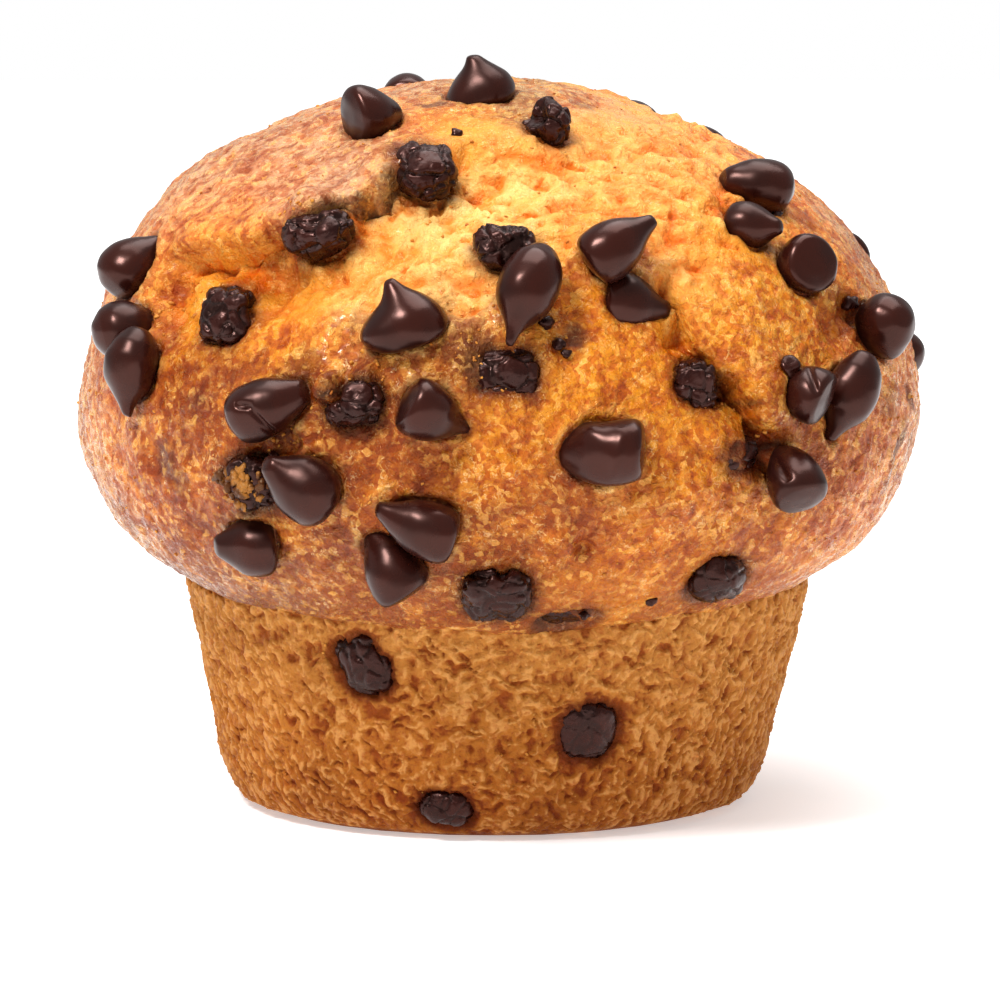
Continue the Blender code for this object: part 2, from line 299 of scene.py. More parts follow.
def layColours(material, base, *layers):
    # a layer: what it follows, where that starts and ends, greatest share, what holds it back, colour, how
    for value, start, end, share, hold, code, kind in layers:
        amount = remap(material, value, start, end, 0.0, share)
        if hold is not None:
            amount = times(material, amount, hold)
        base = blend(material, amount, base, rgb(code), kind)
    return base


def twoTone(material, value, low, high, first, second):
    return blend(material, remap(material, value, low, high), rgb(first), rgb(second))


def readAttribute(material, name, output="Fac"):
    return addNode(material, "Attribute", {"attribute_name": name}).outputs[output]


def stainAndShadeNearChips(material, base, share, code):
    # the crust is darker where it meets a chip: partly a real chocolate stain, partly painted contact shade
    amount = times(material, readAttribute(material, "stainAndContactShade"), share)
    return blend(material, amount, base, rgb(code), "MULTIPLY")


def bumpOn(material, height, strength, distance, below=None):
    made = addNode(material, "Bump", Height=height, Strength=strength, Distance=distance)
    if below is not None:
        setSocket(material, made.inputs["Normal"], below)
    return made.outputs["Normal"]


def lightInside(weight, *reaches):
    # reaches: how far red, green and blue light spread inside, in mm
    return {"Subsurface Weight": weight, "Subsurface Radius": [reach * mm for reach in reaches],
            "Subsurface Scale": 1.0}


def finishShader(material, settings, **inputs):
    shader = addNode(material, "BsdfPrincipled")
    for socket, value in settings.items():
        shader.inputs[socket].default_value = value
    for socket, value in inputs.items():
        setSocket(material, shader.inputs[socket.replace("_", " ")], value)
    output = addNode(material, "OutputMaterial")
    material.node_tree.links.new(shader.outputs[0], output.inputs["Surface"])


drop = {
    "sides": 16,
    "baseShare": 0.80,        # radius of the flat base against the widest radius
    "baseRadius": 0.84,
    # radius and height of each ring, as shares of half the width and the length
    "rings": [(0.96, 0.03), (1.0, 0.11), (1.0, 0.22), (0.95, 0.34), (0.85, 0.46), (0.71, 0.57),
              (0.55, 0.67), (0.40, 0.76), (0.27, 0.85), (0.17, 0.92)],
    "bend": 1.3,
    "usual": {"fullness": 0.8, "blunt": 0.06, "round": 0.08, "nip": 0.1},
    "dents": [(3.4, 2, 0.10), (1.2, 1, 0.018)],   # size in mm, octaves and depth in mm
}

# How single drops differ from the usual one: fullness under 1 is plumper and
# over 1 slimmer; nip draws the tip in; blunt is the share of it that is rubbed
# off; round bulges the base. Pulls and creases are placed in mm to the right of
# and above the drop's middle, seen from the front: a pull has its place, its
# reach and how far it moves things, a crease has its two ends, depth and width.
dropForms = {
    "top": {"fullness": 0.85, "nip": 0.15,
            "pulls": [(0.0, 0.0, 8.0, 0.9, -0.2), (-2.6, -1.8, 2.0, -1.2, -0.9)]},
    "top_left": {"fullness": 0.8, "blunt": 0.2, "pulls": [(-2.4, 2.6, 2.6, 0.0, 0.6)]},
    "edge_left_high": {"fullness": 0.7, "round": 0.3},
    "edge_left_mid": {"fullness": 0.65, "round": 0.3},
    "edge_left_low": {"fullness": 0.7, "round": 0.35, "nip": 0.45},
    "ridge": {"fullness": 1.0, "nip": 0.2,
              "pulls": [(-3.4, -2.6, 2.6, -1.9, -0.2), (2.8, -1.6, 2.6, 0.9, 0.0)]},
    "tear": {"fullness": 0.8, "round": 0.35, "nip": 0.5},
    "pair_upper": {"fullness": 0.75, "nip": 0.25},
    "pair_lower": {"fullness": 0.75, "nip": 0.2, "pulls": [(-1.0, 2.6, 2.8, 0.0, 0.5)]},
    "shoulder_high": {"fullness": 0.55, "blunt": 0.2, "round": 0.2},
    "shoulder_small": {"fullness": 0.7, "nip": 0.2},
    "shoulder_disc": {"fullness": 0.85},
    "edge_right_disc": {"fullness": 0.8, "blunt": 0.2, "round": 0.35,
                        "pulls": [(0.4, -3.4, 2.2, 0.2, -0.8)]},
    "edge_right_behind": {"fullness": 0.7, "round": 0.3},
    "cluster_disc": {"fullness": 0.8, "creases": [((0.4, 3.6), (1.6, 0.4), 0.45, 0.4)]},
    "cluster_drop": {"fullness": 0.7, "round": 0.45, "nip": 0.4},
    "low_disc": {"fullness": 1.1, "blunt": 0.3, "creases": [((-2.8, 3.0), (-1.0, 0.4), 0.5, 0.5)]},
    "front_right": {"fullness": 0.7, "blunt": 0.15,
                    "pulls": [(3.0, 2.4, 2.6, 0.5, 0.3), (-2.6, 1.8, 2.4, 0.2, 0.9),
                              (-3.2, -2.0, 2.2, -0.3, -0.6), (0.0, -3.0, 2.4, 0.0, -0.5)],
                    "creases": [((1.8, 3.0), (1.4, -2.6), -0.25, 0.7)]},
    "folded": {"fullness": 0.5, "blunt": 0.1, "round": 0.2,
               "creases": [((-3.8, 1.0), (-1.6, 0.9), 0.55, 0.35), ((-2.0, 0.8), (1.4, -3.0), 0.5, 0.35)]},
    "front_mid": {"fullness": 1.02, "nip": 0.3},
    "front_left_big": {"fullness": 0.7, "round": 0.2, "nip": 0.15},
    "front_left_low": {"fullness": 0.7, "blunt": 0.1},
    "front_upper": {"fullness": 0.8, "nip": 0.15},
    "front_lower": {"fullness": 0.8, "nip": 0.1},
}

# Drops without a node of their own, pressed into the back of the crown:
# azimuth, latitude, how far they stand out, heading and pitch of the tip,
# width and length in mm.
furtherDrops = [
    (136, 46, 0.6, 190, 10, 7.2, 8.0), (131, 24, 0.8, 160, -30, 7.0, 8.0),
    (118, -4, 0.6, 170, 30, 7.2, 8.4), (132, -28, 0.8, 150, -40, 7.2, 8.0),
    (158, 30, 1.1, 200, 20, 7.4, 8.6), (163, 2, 1.2, 150, -10, 7.6, 9.4),
    (160, -24, 0.8, 200, 40, 7.0, 8.4), (-174, 8, 1.2, 160, 30, 7.4, 9.0),
    (-166, -34, 0.7, 200, -20, 7.4, 8.2), (-158, 34, 1.0, 200, 10, 7.2, 8.2),
    (-146, -10, 1.2, 200, 10, 7.6, 9.2), (-124, 18, 0.8, 200, -30, 7.2, 8.6),
    (-140, 44, 0.6, 170, 20, 7.2, 8.2), (-118, -26, 0.6, 200, 10, 7.2, 8.0),
    (-138, -32, 0.8, 160, 30, 7.2, 8.0), (148, 54, 0.4, 200, 10, 7.0, 7.8),
    (-164, 56, 0.4, 170, 10, 7.0, 7.8), (116, 22, 0.2, 190, -20, 7.0, 8.2),
]


def makeMasterDrop():
    # half the width and the length are both 1; the flat base lies at z = 0
    deselectAll()
    bpy.ops.mesh.primitive_circle_add(vertices=drop["sides"], radius=drop["baseRadius"], fill_type="NGON")
    master = bpy.context.object
    master.name = "masterDrop"
    editMode()
    selectWhole()
    for thickness in (0.08, 0.24, 0.24):
        bpy.ops.mesh.inset(thickness=thickness)
    objectMode()
    rim = [v.index for v in master.data.vertices if v.co.length > drop["baseRadius"] - 0.02]
    startSelecting(master, "EDGE")
    for e in master.data.edges:
        e.select = all(i in rim for i in e.vertices)
    editMode()
    radius, height = drop["baseRadius"], 0.0
    for ringRadius, ringHeight in drop["rings"]:
        bpy.ops.mesh.extrude_region_move(TRANSFORM_OT_translate={"value": (0, 0, ringHeight - height)})
        bpy.ops.transform.resize(value=(ringRadius / radius, ringRadius / radius, 1.0),
                                 center_override=(0, 0, ringHeight))
        radius, height = ringRadius, ringHeight
    bpy.ops.mesh.edge_face_add()
    selectWhole()
    bpy.ops.mesh.normals_make_consistent(inside=False)
    objectMode()
    return master


def cageOfNode(node):
    # a drop's base middle, axis, half width, length and lean, read from its CAD solid
    mesh = node.data
    groups = []
    for face in mesh.polygons:
        for group in groups:
            if group["normal"].dot(face.normal) > 0.9995:
                group["area"] += face.area
                group["verts"].update(face.vertices)
                break
        else:
            groups.append({"normal": face.normal.copy(), "area": face.area, "verts": set(face.vertices)})
    base = max(groups, key=lambda group: group["area"])
    axis = -base["normal"]
    ring = [mesh.vertices[i].co for i in base["verts"]]
    middle = sum(ring, Vector()) / len(ring)
    halfWidth = sum((p - middle).length for p in ring) / len(ring) / drop["baseShare"]
    tip = max((v.co for v in mesh.vertices), key=lambda p: (p - middle).dot(axis))
    length = (tip - middle).dot(axis)
    lean = tip - middle - axis * length
    return {"middle": middle, "axis": axis, "halfWidth": halfWidth, "length": length,
            "lean": lean.normalized(), "leanBy": lean.length}


def cageOnCrust(azimuth, latitude, standsOut, heading, pitch, width, length):
    point = crownPoint(azimuth, latitude)
    normal = (point - crown["middle"] + Vector((0, 0, 6 * mm))).normalized()
    turn, rise = math.radians(heading), math.radians(pitch)
    axis = Vector((math.cos(rise) * math.sin(turn), -math.cos(rise) * math.cos(turn), math.sin(rise)))
    lean = (axis * axis.dot(normal) - normal).normalized()
    return {"middle": point + (standsOut - 1.0) * mm * normal - axis * 0.36 * length * mm, "axis": axis,
            "halfWidth": width * 0.5 * mm, "length": length * mm, "lean": lean, "leanBy": 0.12 * length * mm}


def fitDrop(master, name, cage, form, seed, levels):
    piece = master.copy()
    piece.data = master.data.copy()
    piece.name = piece.data.name = name
    bpy.context.scene.collection.objects.link(piece)
    turn = Matrix((cage["lean"], cage["axis"].cross(cage["lean"]), cage["axis"])).transposed()
    form = {**drop["usual"], **form}
    wide = cage["halfWidth"] * 0.97   # a little slimmer, for the dents
    for v in piece.data.vertices:
        across = max(v.co.xy.length, 0.01)
        slim = across ** (form["fullness"] - 1.0) if v.co.z > 0.2 and across < 1.0 else 1.0
        slim *= 1.0 - form["nip"] * float(smoothStep(0.45, 0.8, v.co.z))
        rubbed = max(v.co.z - 1.0 + form["blunt"], 0.0) * 0.7
        height = v.co.z - rubbed - form["round"] * max(0.0, 1.0 - across ** 2) * (v.co.z < 0.02)
        shift = Vector((v.co.x * 0.9, v.co.y * 0.9, v.co.z * 1.2 + seed * 9.0))
        swell = 1.0 + 0.09 * noise.noise(shift)
        bend = cage["leanBy"] * drop["bend"] * max(height, 0.0) ** 2.6
        local = (v.co.x * slim * wide * swell + bend, v.co.y * slim * wide * swell, height * cage["length"])
        v.co = cage["middle"] + turn @ Vector(local)
    subdivideSmoothly(piece, levels)
    points, normals = readSurface(piece)
    centre = middleOf(points)
    seen = (points - centre)[:, (0, 2)] / mm
    for x, z, reach, moveX, moveZ in form.get("pulls", []):
        hold = smoothStep(1.0, 0.0, np.hypot(seen[:, 0] - x, seen[:, 1] - z) / (1.6 * reach))
        points += hold[:, None] * np.array((moveX, 0.0, moveZ)) * mm
    for start, end, depth, width in form.get("creases", []):
        run = np.array(end) - start
        share = np.clip(((seen - start) @ run) / (run @ run), 0.0, 1.0)
        gap = np.linalg.norm(seen - start - share[:, None] * run, axis=1)
        cut = depth * bell(gap, width) * smoothStep(0.2, -0.3, normals[:, 1])
        points -= normals * (cut * np.sin(np.pi * share) ** 0.7 * mm)[:, None]
    dents = sum(lumps(points, size, seed, octaves) * depth for size, octaves, depth in drop["dents"])
    writePoints(piece, points + normals * (dents * mm)[:, None])
    return piece


def makeDrops(material):
    master = makeMasterDrop()
    made = []
    for seed, node in enumerate(sorted(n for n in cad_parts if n.startswith("chip_drop_"))):
        short = node[len("chip_drop_"):]
        form = dropForms.get(short, {})
        levels = 3 if "creases" in form else 2
        piece = fitDrop(master, "chip_" + short, cageOfNode(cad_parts[node]), form, seed, levels)
        finishPiece(piece, material, "chocolate", node)
        made.append(piece)
    further = []
    for seed, places in enumerate(furtherDrops):
        form = {"fullness": 0.7 + 0.1 * (seed % 5)}
        further.append(fitDrop(master, "further", cageOnCrust(*places), form, seed + 60, 1))
    made.append(joinAll(further, "chips_further"))
    finishPiece(made[-1], material, "chocolate")
    bpy.data.objects.remove(master)
    print("drops made:", len(made))
    return made


melted = {
    "levels": 3, "facetSize": 2.7, "facetDepth": 0.50, "crackDepth": 0.42, "lumpSize": 2.8,
    "lumpDepth": 0.40, "fineSize": 1.1, "fineDepth": 0.05,
    "usual": {"lumps": 1.0, "boxy": 0.15, "bites": []},
    "sunk": {"lumps": 0.5, "boxy": 0.0},
}
# How single melted chips differ: lumps scales everything that stands out of
# them, boxy squares them, and bites are x, z, reach and depth in mm.
meltedForms = {
    "top_broken": {"bites": [(-2.0, 1.4, 1.9, 2.2)]},
    "valley_wrinkled": {"bites": [(-2.6, -2.2, 1.0, 1.0)], "boxy": 0.4},
    "left_block": {"boxy": 0.55, "lumps": 0.8},
    "split_block": {"boxy": 0.6},
    "split_buried": {"lumps": 0.5},
    "front_wrinkled": {"bites": [(-3.2, 1.8, 2.0, 1.2)]},
    "lip_wrinkled": {"lumps": 0.8, "bites": [(0.6, 3.0, 1.1, 0.9)]},
    "lip_smear": {"lumps": 0.4}, "lip_chunk": {"lumps": 0.6, "boxy": 0.4}, "back_lip": {"lumps": 0.5},
}


def crackedSurface(points, size, seed):
    # facets that stand out unevenly, and how close each point is to a crack between two of them
    shift = shiftOf(seed)
    warped = points + lumpVectors(points, 2.4, seed=seed) * 0.7 * mm
    facets, cracks = np.empty(len(points)), np.empty(len(points))
    for i, p in enumerate(warped / (size * mm)):
        (near, second, *_), centres = noise.voronoi(Vector(p) + shift)
        facets[i] = noise.noise(centres[0] * 7.3) + 0.6 * noise.noise(Vector(p) * 0.9 + centres[0] * 3.1)
        cracks[i] = math.exp(-((second - near) / 0.09) ** 2)
    return facets, cracks


def makeMelted(material):
    made = []
    nodes = sorted(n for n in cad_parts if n.startswith(("chip_melted_", "chip_sunk_")))
    for seed, node in enumerate(nodes):
        short = node.split("_", 2)[2]
        sunk = melted["sunk"] if node.startswith("chip_sunk_") else {}
        form = {**melted["usual"], **meltedForms.get(short, sunk)}
        piece = copyOfNode(node, "melted_" + short)
        subdivideSmoothly(piece, melted["levels"])
        points = readPoints(piece)
        centre = middleOf(points)
        reach = points - centre
        square = np.linalg.norm(reach, axis=1) / np.maximum((np.abs(reach) ** 5).sum(1) ** 0.2, 1e-9)
        points = centre + reach * (0.97 * square ** form["boxy"])[:, None]
        writePoints(piece, points)
        normals = readPoints(piece, "normal")
        facets, cracks = crackedSurface(points, melted["facetSize"], seed)
        smallFacets, smallCracks = crackedSurface(points, 0.5 * melted["facetSize"], seed + 30)
        cracks = np.maximum(cracks, 0.2 * smallCracks)
        out = melted["facetDepth"] * (facets + 0.25 * smallFacets) - melted["crackDepth"] * cracks
        out += melted["lumpDepth"] * lumps(points, melted["lumpSize"], seed=seed + 50)
        out += melted["fineDepth"] * lumps(points, melted["fineSize"], seed=seed + 80)
        out *= form["lumps"]
        seen = reach[:, (0, 2)] / mm
        for x, z, width, depth in form["bites"]:
            hold = smoothStep(1.0, 0.4, np.hypot(seen[:, 0] - x, seen[:, 1] - z) / width)
            out -= depth * hold * smoothStep(0.3, -0.3, normals[:, 1])
        writePoints(piece, points + normals * (out * mm)[:, None])
        writeValues(piece, "cracks", cracks)
        finishPiece(piece, material, "melted_chocolate", node)
        made.append(piece)
    print("melted chips made:", len(made))
    return made


def treeOf(pieces):
    joined = bmesh.new()
    for piece in pieces:
        joined.from_mesh(piece.data)
    tree = BVHTree.FromBMesh(joined)
    joined.free()
    return tree


def distanceTo(tree, points, limit):
    # distance in mm to the nearest face of a tree, at most the limit
    found = [tree.find_nearest(Vector(p), limit * mm)[3] for p in points]
    return np.array([limit if gap is None else gap / mm for gap in found])


cake = {
    "pocketReach": 0.5,          # faces this close to a chip belong to its pocket
    "chipReach": 4.0,            # how far a chip has an effect on the crust
    # the crown's underside and the stump's top are cut inside the muffin, at heights that overlap
    "crown": {"cut": 26.8, "keepAbove": True, "voxel": 1.74, "hidden": (26.0, 27.4), "triangles": 190000},
    "stump": {"cut": 28.0, "keepAbove": False, "voxel": 1.28, "hidden": (27.4, 29.0), "triangles": 150000},
    "hiddenRadius": 35.0,        # a cut is flat and unseen inside this radius
    "smoothing": 4, "levels": 2,
}

# Splits of the crust. The crust overhangs on the left going along, and open
# crumb lies sunk on the right. Depths and widths are in mm.
# shade is how strongly the crumb just under a split's edge is painted darker: painted shade.
splits = {
    "ledge": {"route": [(-64, 31), (-57, 34), (-51, 36), (-46, 37), (-40, 39), (-34, 42), (-28, 47),
                        (-23, 53), (-17, 58), (-12, 62), (-6, 66)],
              "lift": 1.0, "sink": 3.6, "reach": 8.0, "overhang": 1.7, "wander": 1.1, "shade": 0.5},
    "rightCrack": {"route": [(28, 32), (29, 25), (30, 19), (33, 14), (38, 8), (40, -2)],
                   "lift": 1.6, "sink": 3.6, "reach": 3.0, "overhang": 1.5, "wander": 1.3, "shade": 1.8},
    "back": {"route": [(150, 8), (160, 20), (170, 30), (178, 38), (-172, 48), (-165, 62)],
             "lift": 0.9, "sink": 2.8, "reach": 7.0, "overhang": 1.8, "wander": 1.3, "shade": 1.0},
}
# Hollows (and, below zero, bumps) of the crust: azimuth, latitude, width and depth in mm
# The hollows are also painted darker by their depth, as painted shade.
hollows = [
    (-52, 31, 1.7, 1.5), (-60, 25, 1.8, 1.5), (-57, 31, 1.3, 1.0), (-51, 25, 1.3, 1.0),
    (-48, 33, 2.4, 1.0), (-39, 32, 3.4, 0.9), (-55, 27, 2.2, -0.9), (-47, 28, 2.0, -0.7),
    (32, 11, 1.9, 2.2), (31, 16, 1.3, 1.3), (36, 9, 1.4, 1.5), (37, 3, 1.3, 1.3), (35, -1, 2.4, -1.0),
    (34, 13, 1.6, -0.9), (38, 11, 1.6, -0.8), (29, 5, 2.4, -0.7), (-6, 20, 2.2, -0.8),
    (-4, 15, 2.2, -0.7), (0, 11, 1.9, -0.6), (4, 10, 1.6, -0.6), (9, -27, 1.8, -0.8),
    (12, -28.5, 1.5, 1.0), (39, 0, 2.8, 2.4), (-29, 2, 1.8, 1.6), (-33, 0, 1.6, 1.2),
    (-20, 20, 3.0, 0.9), (-9, 30, 4.0, 1.0), (10, 24, 3.2, 0.8), (50, 42, 2.4, 0.9), (61, 21, 1.8, 1.2),
    (56, 19, 2.6, 0.9), (14, 40, 4.0, -0.8), (-52, -6, 2.0, 0.8), (22, 6, 3.0, -0.5),
    (-2, -8, 3.6, -0.5), (24, -14, 4.0, -0.5), (-23, 58.5, 3.2, -1.5), (-27, 54, 2.4, -1.0),
    (-24, 49, 1.7, 1.2), (-34, 42, 3.2, -1.8), (-27.5, 44, 2.2, -1.2), (-22.5, 11.5, 1.9, -3.4),
    (-18, 13.5, 1.5, -1.8), (11, -67, 2.6, 1.3), (33, 11.5, 1.4, 1.2), (165, 24, 2.0, 1.4),
    (172, 28, 1.5, 1.2), (-178, 30, 2.2, 1.5), (156, 12, 1.6, 1.2), (130, 60, 3.0, 0.8),
    (-120, 62, 3.4, 0.8), (118, 0, 3.0, -0.6), (-130, -4, 2.4, 0.9), (146, -2, 2.0, 1.0),
    (-108, 20, 2.6, -0.6),
]
relief = {
    # depths in mm
    "broad": 0.38, "middle": 0.26, "wrinkle": 0.34, "fine": 0.14,    # of the crust
    "cobble": 1.70, "smallCobble": 0.70, "holes": 0.7,               # of the open crumb
    "cobbleTop": (84.0, 79.0),                                       # it fades out between these heights
    "collar": 0.35, "seam": 0.45,                                    # where the crust meets a chip
    "lipLayers": 0.16, "hem": 1.5, "hemLevels": (38.0, 29.0),        # how the lip is layered and hangs
    # of the stump: flakes run along slants, in degrees, around an azimuth in radians
    "ridges": 0.98, "flakes": 0.14, "pits": 0.20, "grain": 0.09, "swell": 0.25,
    "slants": ((-50, -1.3), (-12, -0.2), (35, 0.9)),
}


def closePockets(piece, chipNodes):
    # the pockets around the chips are closed, so that the crust meets each chip
    tree = treeOf(chipNodes)
    startSelecting(piece, "FACE")
    reach = cake["pocketReach"] * mm
    near = [tree.find_nearest(v.co, reach)[0] is not None for v in piece.data.vertices]
    for face in piece.data.polygons:
        face.select = all(near[i] for i in face.vertices)
    editMode()
    bpy.ops.mesh.delete(type="FACE")
    bpy.ops.mesh.select_mode(type="EDGE")
    bpy.ops.mesh.select_all(action="DESELECT")
    bpy.ops.mesh.select_non_manifold()
    bpy.ops.mesh.fill_holes(sides=0)
    selectWhole()
    bpy.ops.mesh.quads_convert_to_tris()
    bpy.ops.mesh.normals_make_consistent(inside=False)
    objectMode()


def cutAt(piece, height, keepAbove):
    pick(piece)
    editMode()
    selectWhole()
    bpy.ops.mesh.bisect(plane_co=(0, 0, height * mm), plane_no=(0, 0, 1), use_fill=True,
                        clear_inner=keepAbove, clear_outer=not keepAbove)
    objectMode()


def deleteHidden(piece, low, high):
    # opens the flat middle of a cut, so that no fine faces are spent on it
    radius = cake["hiddenRadius"] * mm
    startSelecting(piece, "FACE")
    for face in piece.data.polygons:
        x, y = face.center.x - crown["middle"].x, face.center.y - crown["middle"].y
        face.select = low * mm < face.center.z < high * mm and math.hypot(x, y) < radius
    editMode()
    bpy.ops.mesh.delete(type="FACE")
    objectMode()


def closeHoles(piece):
    startSelecting(piece, "EDGE")
    editMode()
    bpy.ops.mesh.select_non_manifold()
    bpy.ops.mesh.fill_holes(sides=0)
    objectMode()


def thinOut(piece, triangles):
    # flat places lose faces first
    startSelecting(piece, "FACE")
    editMode()
    selectWhole()
    bpy.ops.mesh.quads_convert_to_tris()
    objectMode()
    addAndApply(piece, "DECIMATE", ratio=triangles / len(piece.data.polygons))


def makeCakePiece(name, part):
    piece = copyOfNode("muffin", name)
    closePockets(piece, [node for key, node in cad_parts.items() if key != "muffin"])
    cutAt(piece, part["cut"], part["keepAbove"])
    addAndApply(piece, "REMESH", mode="VOXEL", voxel_size=part["voxel"] * mm)
    addAndApply(piece, "SMOOTH", factor=0.5, iterations=cake["smoothing"])
    deleteHidden(piece, *part["hidden"])
    subdivideSmoothly(piece, cake["levels"])
    closeHoles(piece)
    print(name, "meshed:", len(piece.data.polygons), "faces")
    return piece


def distanceAlong(points, route):
    # signed distance in mm to a route over the crown, positive on its left, and the share of the way
    stops = np.array([crownPoint(*stop) for stop in route])
    best = np.full(len(points), 1.0)
    side = np.zeros(len(points))
    share = np.zeros(len(points))
    inside = np.array(crown["middle"]) - (0, 0, 15 * mm)   # well inside, to tell left from right
    for i in range(len(stops) - 1):
        start, run = stops[i], stops[i + 1] - stops[i]
        t = np.clip(((points - start) @ run) / (run @ run), 0.0, 1.0)
        gap = points - (start + t[:, None] * run)
        length = np.linalg.norm(gap, axis=1)
        closer = length < best
        turn = np.einsum("ij,ij->i", np.cross(run, gap), points - inside)
        best = np.where(closer, length, best)
        side = np.where(closer, np.sign(turn), side)
        share = np.where(closer, (i + t) / (len(stops) - 1), share)
    return best * side / mm, share


def smoothWhere(piece, weights, rounds):
    group = piece.vertex_groups.new(name="smoothed")
    for i in np.nonzero(weights > 0.05)[0]:
        group.add([int(i)], min(float(weights[i]), 1.0), "REPLACE")
    addAndApply(piece, "SMOOTH", factor=0.5, iterations=rounds, vertex_group="smoothed")
    piece.vertex_groups.clear()


def shapeSplits(points, normals, hold):
    # how far the splits move the crust out, how they slide it sideways, where they open the crumb, and how
    # much painted shade darkens the crumb under their edges
    moved, opened, shaded = np.zeros(len(points)), np.zeros(len(points)), np.zeros(len(points))
    slide = np.zeros((len(points), 3))
    for seed, split in enumerate(splits.values()):
        signed, share = distanceAlong(points, split["route"])
        signed = signed + lumps(points, 4.0, seed=20 + seed, octaves=3) * split["wander"]
        ends = smoothStep(0.0, 0.08, share) * smoothStep(1.0, 0.84, share)
        crust = smoothStep(-0.4, 0.4, signed)
        moved += ends * crust * split["lift"] * bell(signed, 5.0)
        moved -= ends * hold * (1 - crust) * split["sink"] * bell(signed, split["reach"])
        opened = np.maximum(opened, ends * (1 - crust) * bell(signed, 1.3 * split["reach"], 4))
        shaded = np.maximum(shaded, ends * split["shade"] * bell(signed + 0.6, 1.1))
        over = bell(signed - 0.4, 1.5) * ends * split["overhang"]
        stops = np.array([crownPoint(*stop) for stop in split["route"]])
        across = np.cross(normals, stops[-1] - stops[0])
        across /= np.maximum(np.linalg.norm(across, axis=1), 1e-9)[:, None]
        slide -= across * over[:, None]
    return moved, slide, opened, shaded


def shapeCrown(piece, crumbShare, toDrops, toMelted):
    points, normals = readSurface(piece)
    z = points[:, 2] / mm
    offCut = smoothStep(cake["crown"]["cut"] + 0.1, cake["crown"]["cut"] + 1.2, z)
    lip = smoothStep(*crown["lipLevels"], z)
    gap = np.minimum(toDrops, toMelted)
    hold = 0.35 + 0.65 * smoothStep(0.2, 2.6, gap)   # the crumb sinks less beside a chip
    moved, slide, opened, shaded = shapeSplits(points, normals, hold)
    crumb = np.maximum(opened, crumbShare) * (1 - lip)
    ragged = points + lumpVectors(points, 2.2, seed=31) * 0.7 * mm
    hollowsWithPaintedShade = np.zeros(len(points))
    for azimuth, latitude, width, depth in hollows:
        hollowsWithPaintedShade += depth * smoothStep(1.5, 0.4, spotDistance(ragged, crownPoint, azimuth, latitude) / width)
    moved -= hollowsWithPaintedShade

    middle = lumps(points, 3.6, seed=2)
    wrinkle = 0.30 - np.abs(lumps(ragged, 1.9, seed=3))
    fine = lumps(points, 0.95, seed=4)
    near = cells(ragged, 3.1, seed=5)[0]
    smallNear = cells(ragged, 1.5, seed=6)[0]
    holes = smoothStep(0.42, 0.62, lumps(points, 2.0, seed=7))
    rough = smoothStep(0.35, 0.95, crumb) * smoothStep(*relief["cobbleTop"], z)
    broken = np.maximum(opened, rough) * (1 - lip)
    skin = relief["middle"] * middle + relief["wrinkle"] * wrinkle + relief["fine"] * fine
    skin *= 1 - 0.45 * lip
    grain = relief["cobble"] * (0.42 - near) + relief["smallCobble"] * (0.42 - smallNear)
    grain += 0.5 * relief["fine"] * fine - relief["holes"] * holes
    layers = lumps(points * np.array((1.0, 1.0, 3.4)), 2.0, seed=8, octaves=3)   # flat lumps
    detail = skin * (1 - broken) * (1 - 0.3 * crumb) + grain * broken + relief["lipLayers"] * lip * layers
    collar = relief["collar"] * bell(toDrops - 0.5, 0.8) * (0.6 + 0.6 * middle)
    detail += collar - relief["seam"] * bell(gap, 0.35)
    moved += relief["broad"] * lumps(points, 8.0, seed=1) + detail
    turn = np.arctan2(points[:, 0] - crown["middle"].x, crown["middle"].y - points[:, 1])
    hem = bell(turn, 0.75) + 0.5 * bell(np.abs(turn) - math.pi, 0.7)
    hem = (relief["hem"] * hem + 0.35 * lumps(points, 7.0, seed=9)) * smoothStep(*relief["hemLevels"], z)
    move = normals * (moved * offCut)[:, None] + slide * offCut[:, None]
    move[:, 2] -= hem
    writePoints(piece, points + move * mm)
    smoothWhere(piece, np.linalg.norm(slide, axis=1) / 1.2, 6)
    return {"relief": detail, "crumb": crumb, "lip": lip,
            # the hollows and the crumb under the splits' edges are painted darker in the material: painted
            # shade
            "hollowsWithPaintedShade": np.clip(np.maximum(hollowsWithPaintedShade, shaded), 0.0, 2.0),
            # darker round the chips: partly a chocolate stain, partly painted contact shade
            "stainAndContactShade": np.maximum(0.65 * bell(toDrops, 0.8), 0.9 * bell(toMelted, 1.2))}


